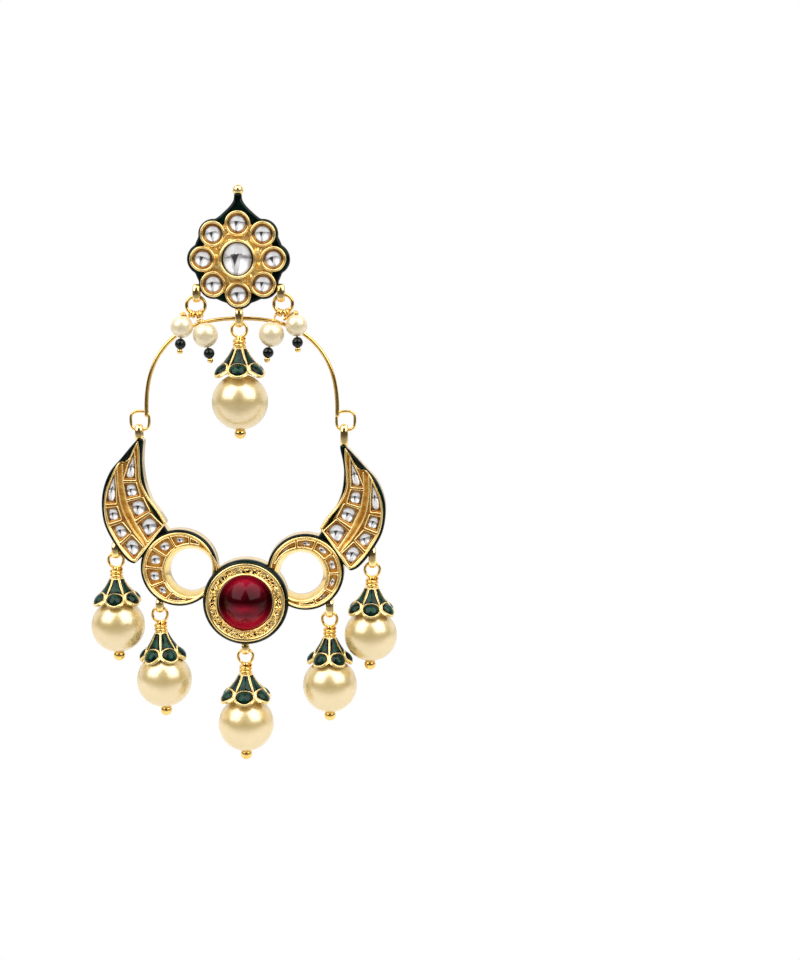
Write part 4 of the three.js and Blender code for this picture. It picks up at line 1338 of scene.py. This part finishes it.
def dangle(name):
    facts = DANGLES[name]
    middle, lean = centre_of(name + "_pearl"), math.radians(facts["lean"])
    radius = max(size_of(name + "_pearl")) / 2
    down = np.array([math.sin(lean), 0, -math.cos(lean)])
    pin = dangle_pin(centre_of(facts["ring"]), math.radians(facts["at"]), middle, radius, down)
    piece(name + "_wire", pin, WIRE_GOLD, "flower", "gold", name + "_pin")

    move = leaned(middle, facts["lean"])
    pearl, small = Shape(), Shape()
    bead(pearl, np.zeros(3), radius, 48, bore=0.42)
    piece(name + "_pearl_bead", pearl.moved(move), SMALL_PEARL, "flower", "pearl", name + "_pearl")
    below = radius + SMALL_BEAD["radius"] + SMALL_BEAD["gap"]
    bead(small, np.array([0, 0, -below]), SMALL_BEAD["radius"], bore=0.35)
    piece(name + "_glass_bead", small.moved(move), BEAD, "flower", "bead", name + "_bead")


# ---- the pieces ----

CRESCENT_LOOKS = {"back": (PLAIN_GOLD, "gold"), "enamel": (ENAMEL, "enamel"),
                  "rims": (SETTING_GOLD, "gold"), "bright": (GOLD, "gold"),
                  "cells": (RIM_GOLD, "gold"), "slopes": (PAINTED_SHADE_SLOPE_GOLD, "gold"),
                  "channel": (PAINTED_SHADE_RECESS_GOLD, "gold"), "glass": (KUNDAN, "kundan"),
                  "eyelets": (GOLD, "gold")}


def crescent():
    parts = {part: Shape() for part in CRESCENT_LOOKS}
    for side in (-1, 1):
        wing(side, parts)
        ring(side, parts)
    disc(parts)
    parts = {part: shape.moved(on_crescent) for part, shape in parts.items()}
    parts["eyelets"] = eyelets_of_crescent()
    soldered("crescent", parts, CRESCENT_LOOKS)
    piece("ruby_dome", ruby_stone(), RUBY, "crescent", "ruby", "ruby")


crescent()
flower()
post()
hoop()
for drop_name in DROPS:
    drop(drop_name)
for ring_name in ("left_jump_ring", "right_jump_ring"):
    side_ring(ring_name)
for dangle_name in DANGLES:
    dangle(dangle_name)


# ---- floor, light and camera, in metres ----

SOFTBOX = {"far": 0.7, "side": 53, "up": 47, "half_wide": 24, "half_tall": 31, "roll": -5,
           "radiance": 3.2}


def floor(half=6.0, below=0.03):
    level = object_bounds()[0][2] - below
    mesh = bpy.data.meshes.new("floor")
    corners = [(-half, -half, level), (half, -half, level), (half, half, level),
               (-half, half, level)]
    mesh.from_pydata(corners, [], [(0, 1, 2, 3)])
    material, tree, shader = new_material("floor_paper", Roughness=0.9)
    # the paper falls into shade out in front
    tone = ranged(tree, split(tree, coordinates(tree, "Object"))["Y"], 0, 1, -0.16, -0.045)
    feed(tree, shader, {"Base Color": mixed(tree, tone, (0.22, 0.22, 0.22), (0.86, 0.86, 0.86))})
    # it shows as evenly lit white; only what it throws on the metal is held down
    either = node(tree, "MixShader", {0: node(tree, "LightPath").outputs["Is Camera Ray"],
                                      1: shader.outputs[0], 2: node(tree, "Emission").outputs[0]})
    feed(tree, tree.nodes["Material Output"], {"Surface": either.outputs[0]})
    mesh.materials.append(material)
    plane = bpy.data.objects.new("floor", mesh)
    bpy.context.scene.collection.objects.link(plane)
    plane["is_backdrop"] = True


def softbox(name, side, middle):
    """A large rectangle of light, out in front and above, turned towards the middle."""
    facts = SOFTBOX
    across, up = math.radians(side * facts["side"]), math.radians(facts["up"])
    away = Vector((math.sin(across) * math.cos(up), -math.cos(across) * math.cos(up), math.sin(up)))
    light = bpy.data.lights.new(name, "AREA")
    light.shape = "RECTANGLE"
    light.size = 2 * facts["far"] * math.tan(math.radians(facts["half_wide"]))
    light.size_y = 2 * facts["far"] * math.tan(math.radians(facts["half_tall"]))
    light.energy = facts["radiance"] * math.pi * light.size * light.size_y
    lamp = bpy.data.objects.new(name, light)
    lamp.location = middle + away * facts["far"]
    turn = Quaternion((0, 0, 1), math.radians(side * facts["roll"]))
    lamp.rotation_euler = ((-away).to_track_quat("-Z", "Y") @ turn).to_euler()
    bpy.context.scene.collection.objects.link(lamp)


def lights():
    low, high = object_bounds()
    middle = (low + high) / 2
    softbox("softbox_left", -1, middle)
    softbox("softbox_right", 1, middle)
    world = bpy.data.worlds.new("studio")
    bpy.context.scene.world = world
    world.use_nodes = True
    tree = world.node_tree
    # a white room that is dark in front, save where the camera sees it
    toward = ranged(tree, split(tree, coordinates(tree, "Generated"))["Y"], 1, 0, -0.05, 0.5)
    unseen = maths(tree, "SUBTRACT", 1.0, node(tree, "LightPath").outputs["Is Camera Ray"])
    dark = maths(tree, "MULTIPLY", toward, unseen)
    room = mixed(tree, dark, (1.0, 1.0, 1.0), (0.08, 0.068, 0.052))
    feed(tree, tree.nodes["Background"], {"Color": room, "Strength": 1.0})


def camera(distance=0.33, lift=math.radians(6.5), width=0.1706, sensor=36):
    """Looks down a little at the middle of the photograph, which is `width` across there."""
    data = bpy.data.cameras.new("camera")
    made = bpy.data.objects.new("camera", data)
    bpy.context.scene.collection.objects.link(made)
    target = Vector((0.0285, -0.0035, -0.0390))
    made.location = target + distance * Vector((0, -math.cos(lift), math.sin(lift)))
    made.rotation_euler = (target - made.location).to_track_quat("-Z", "Y").to_euler()
    data.sensor_width = sensor
    data.lens = sensor * distance / width
    data.clip_start = 0.01
    data.clip_end = 50
    bpy.context.scene.camera = made


floor()
lights()
camera()
bpy.context.scene.view_settings.view_transform = "Standard"
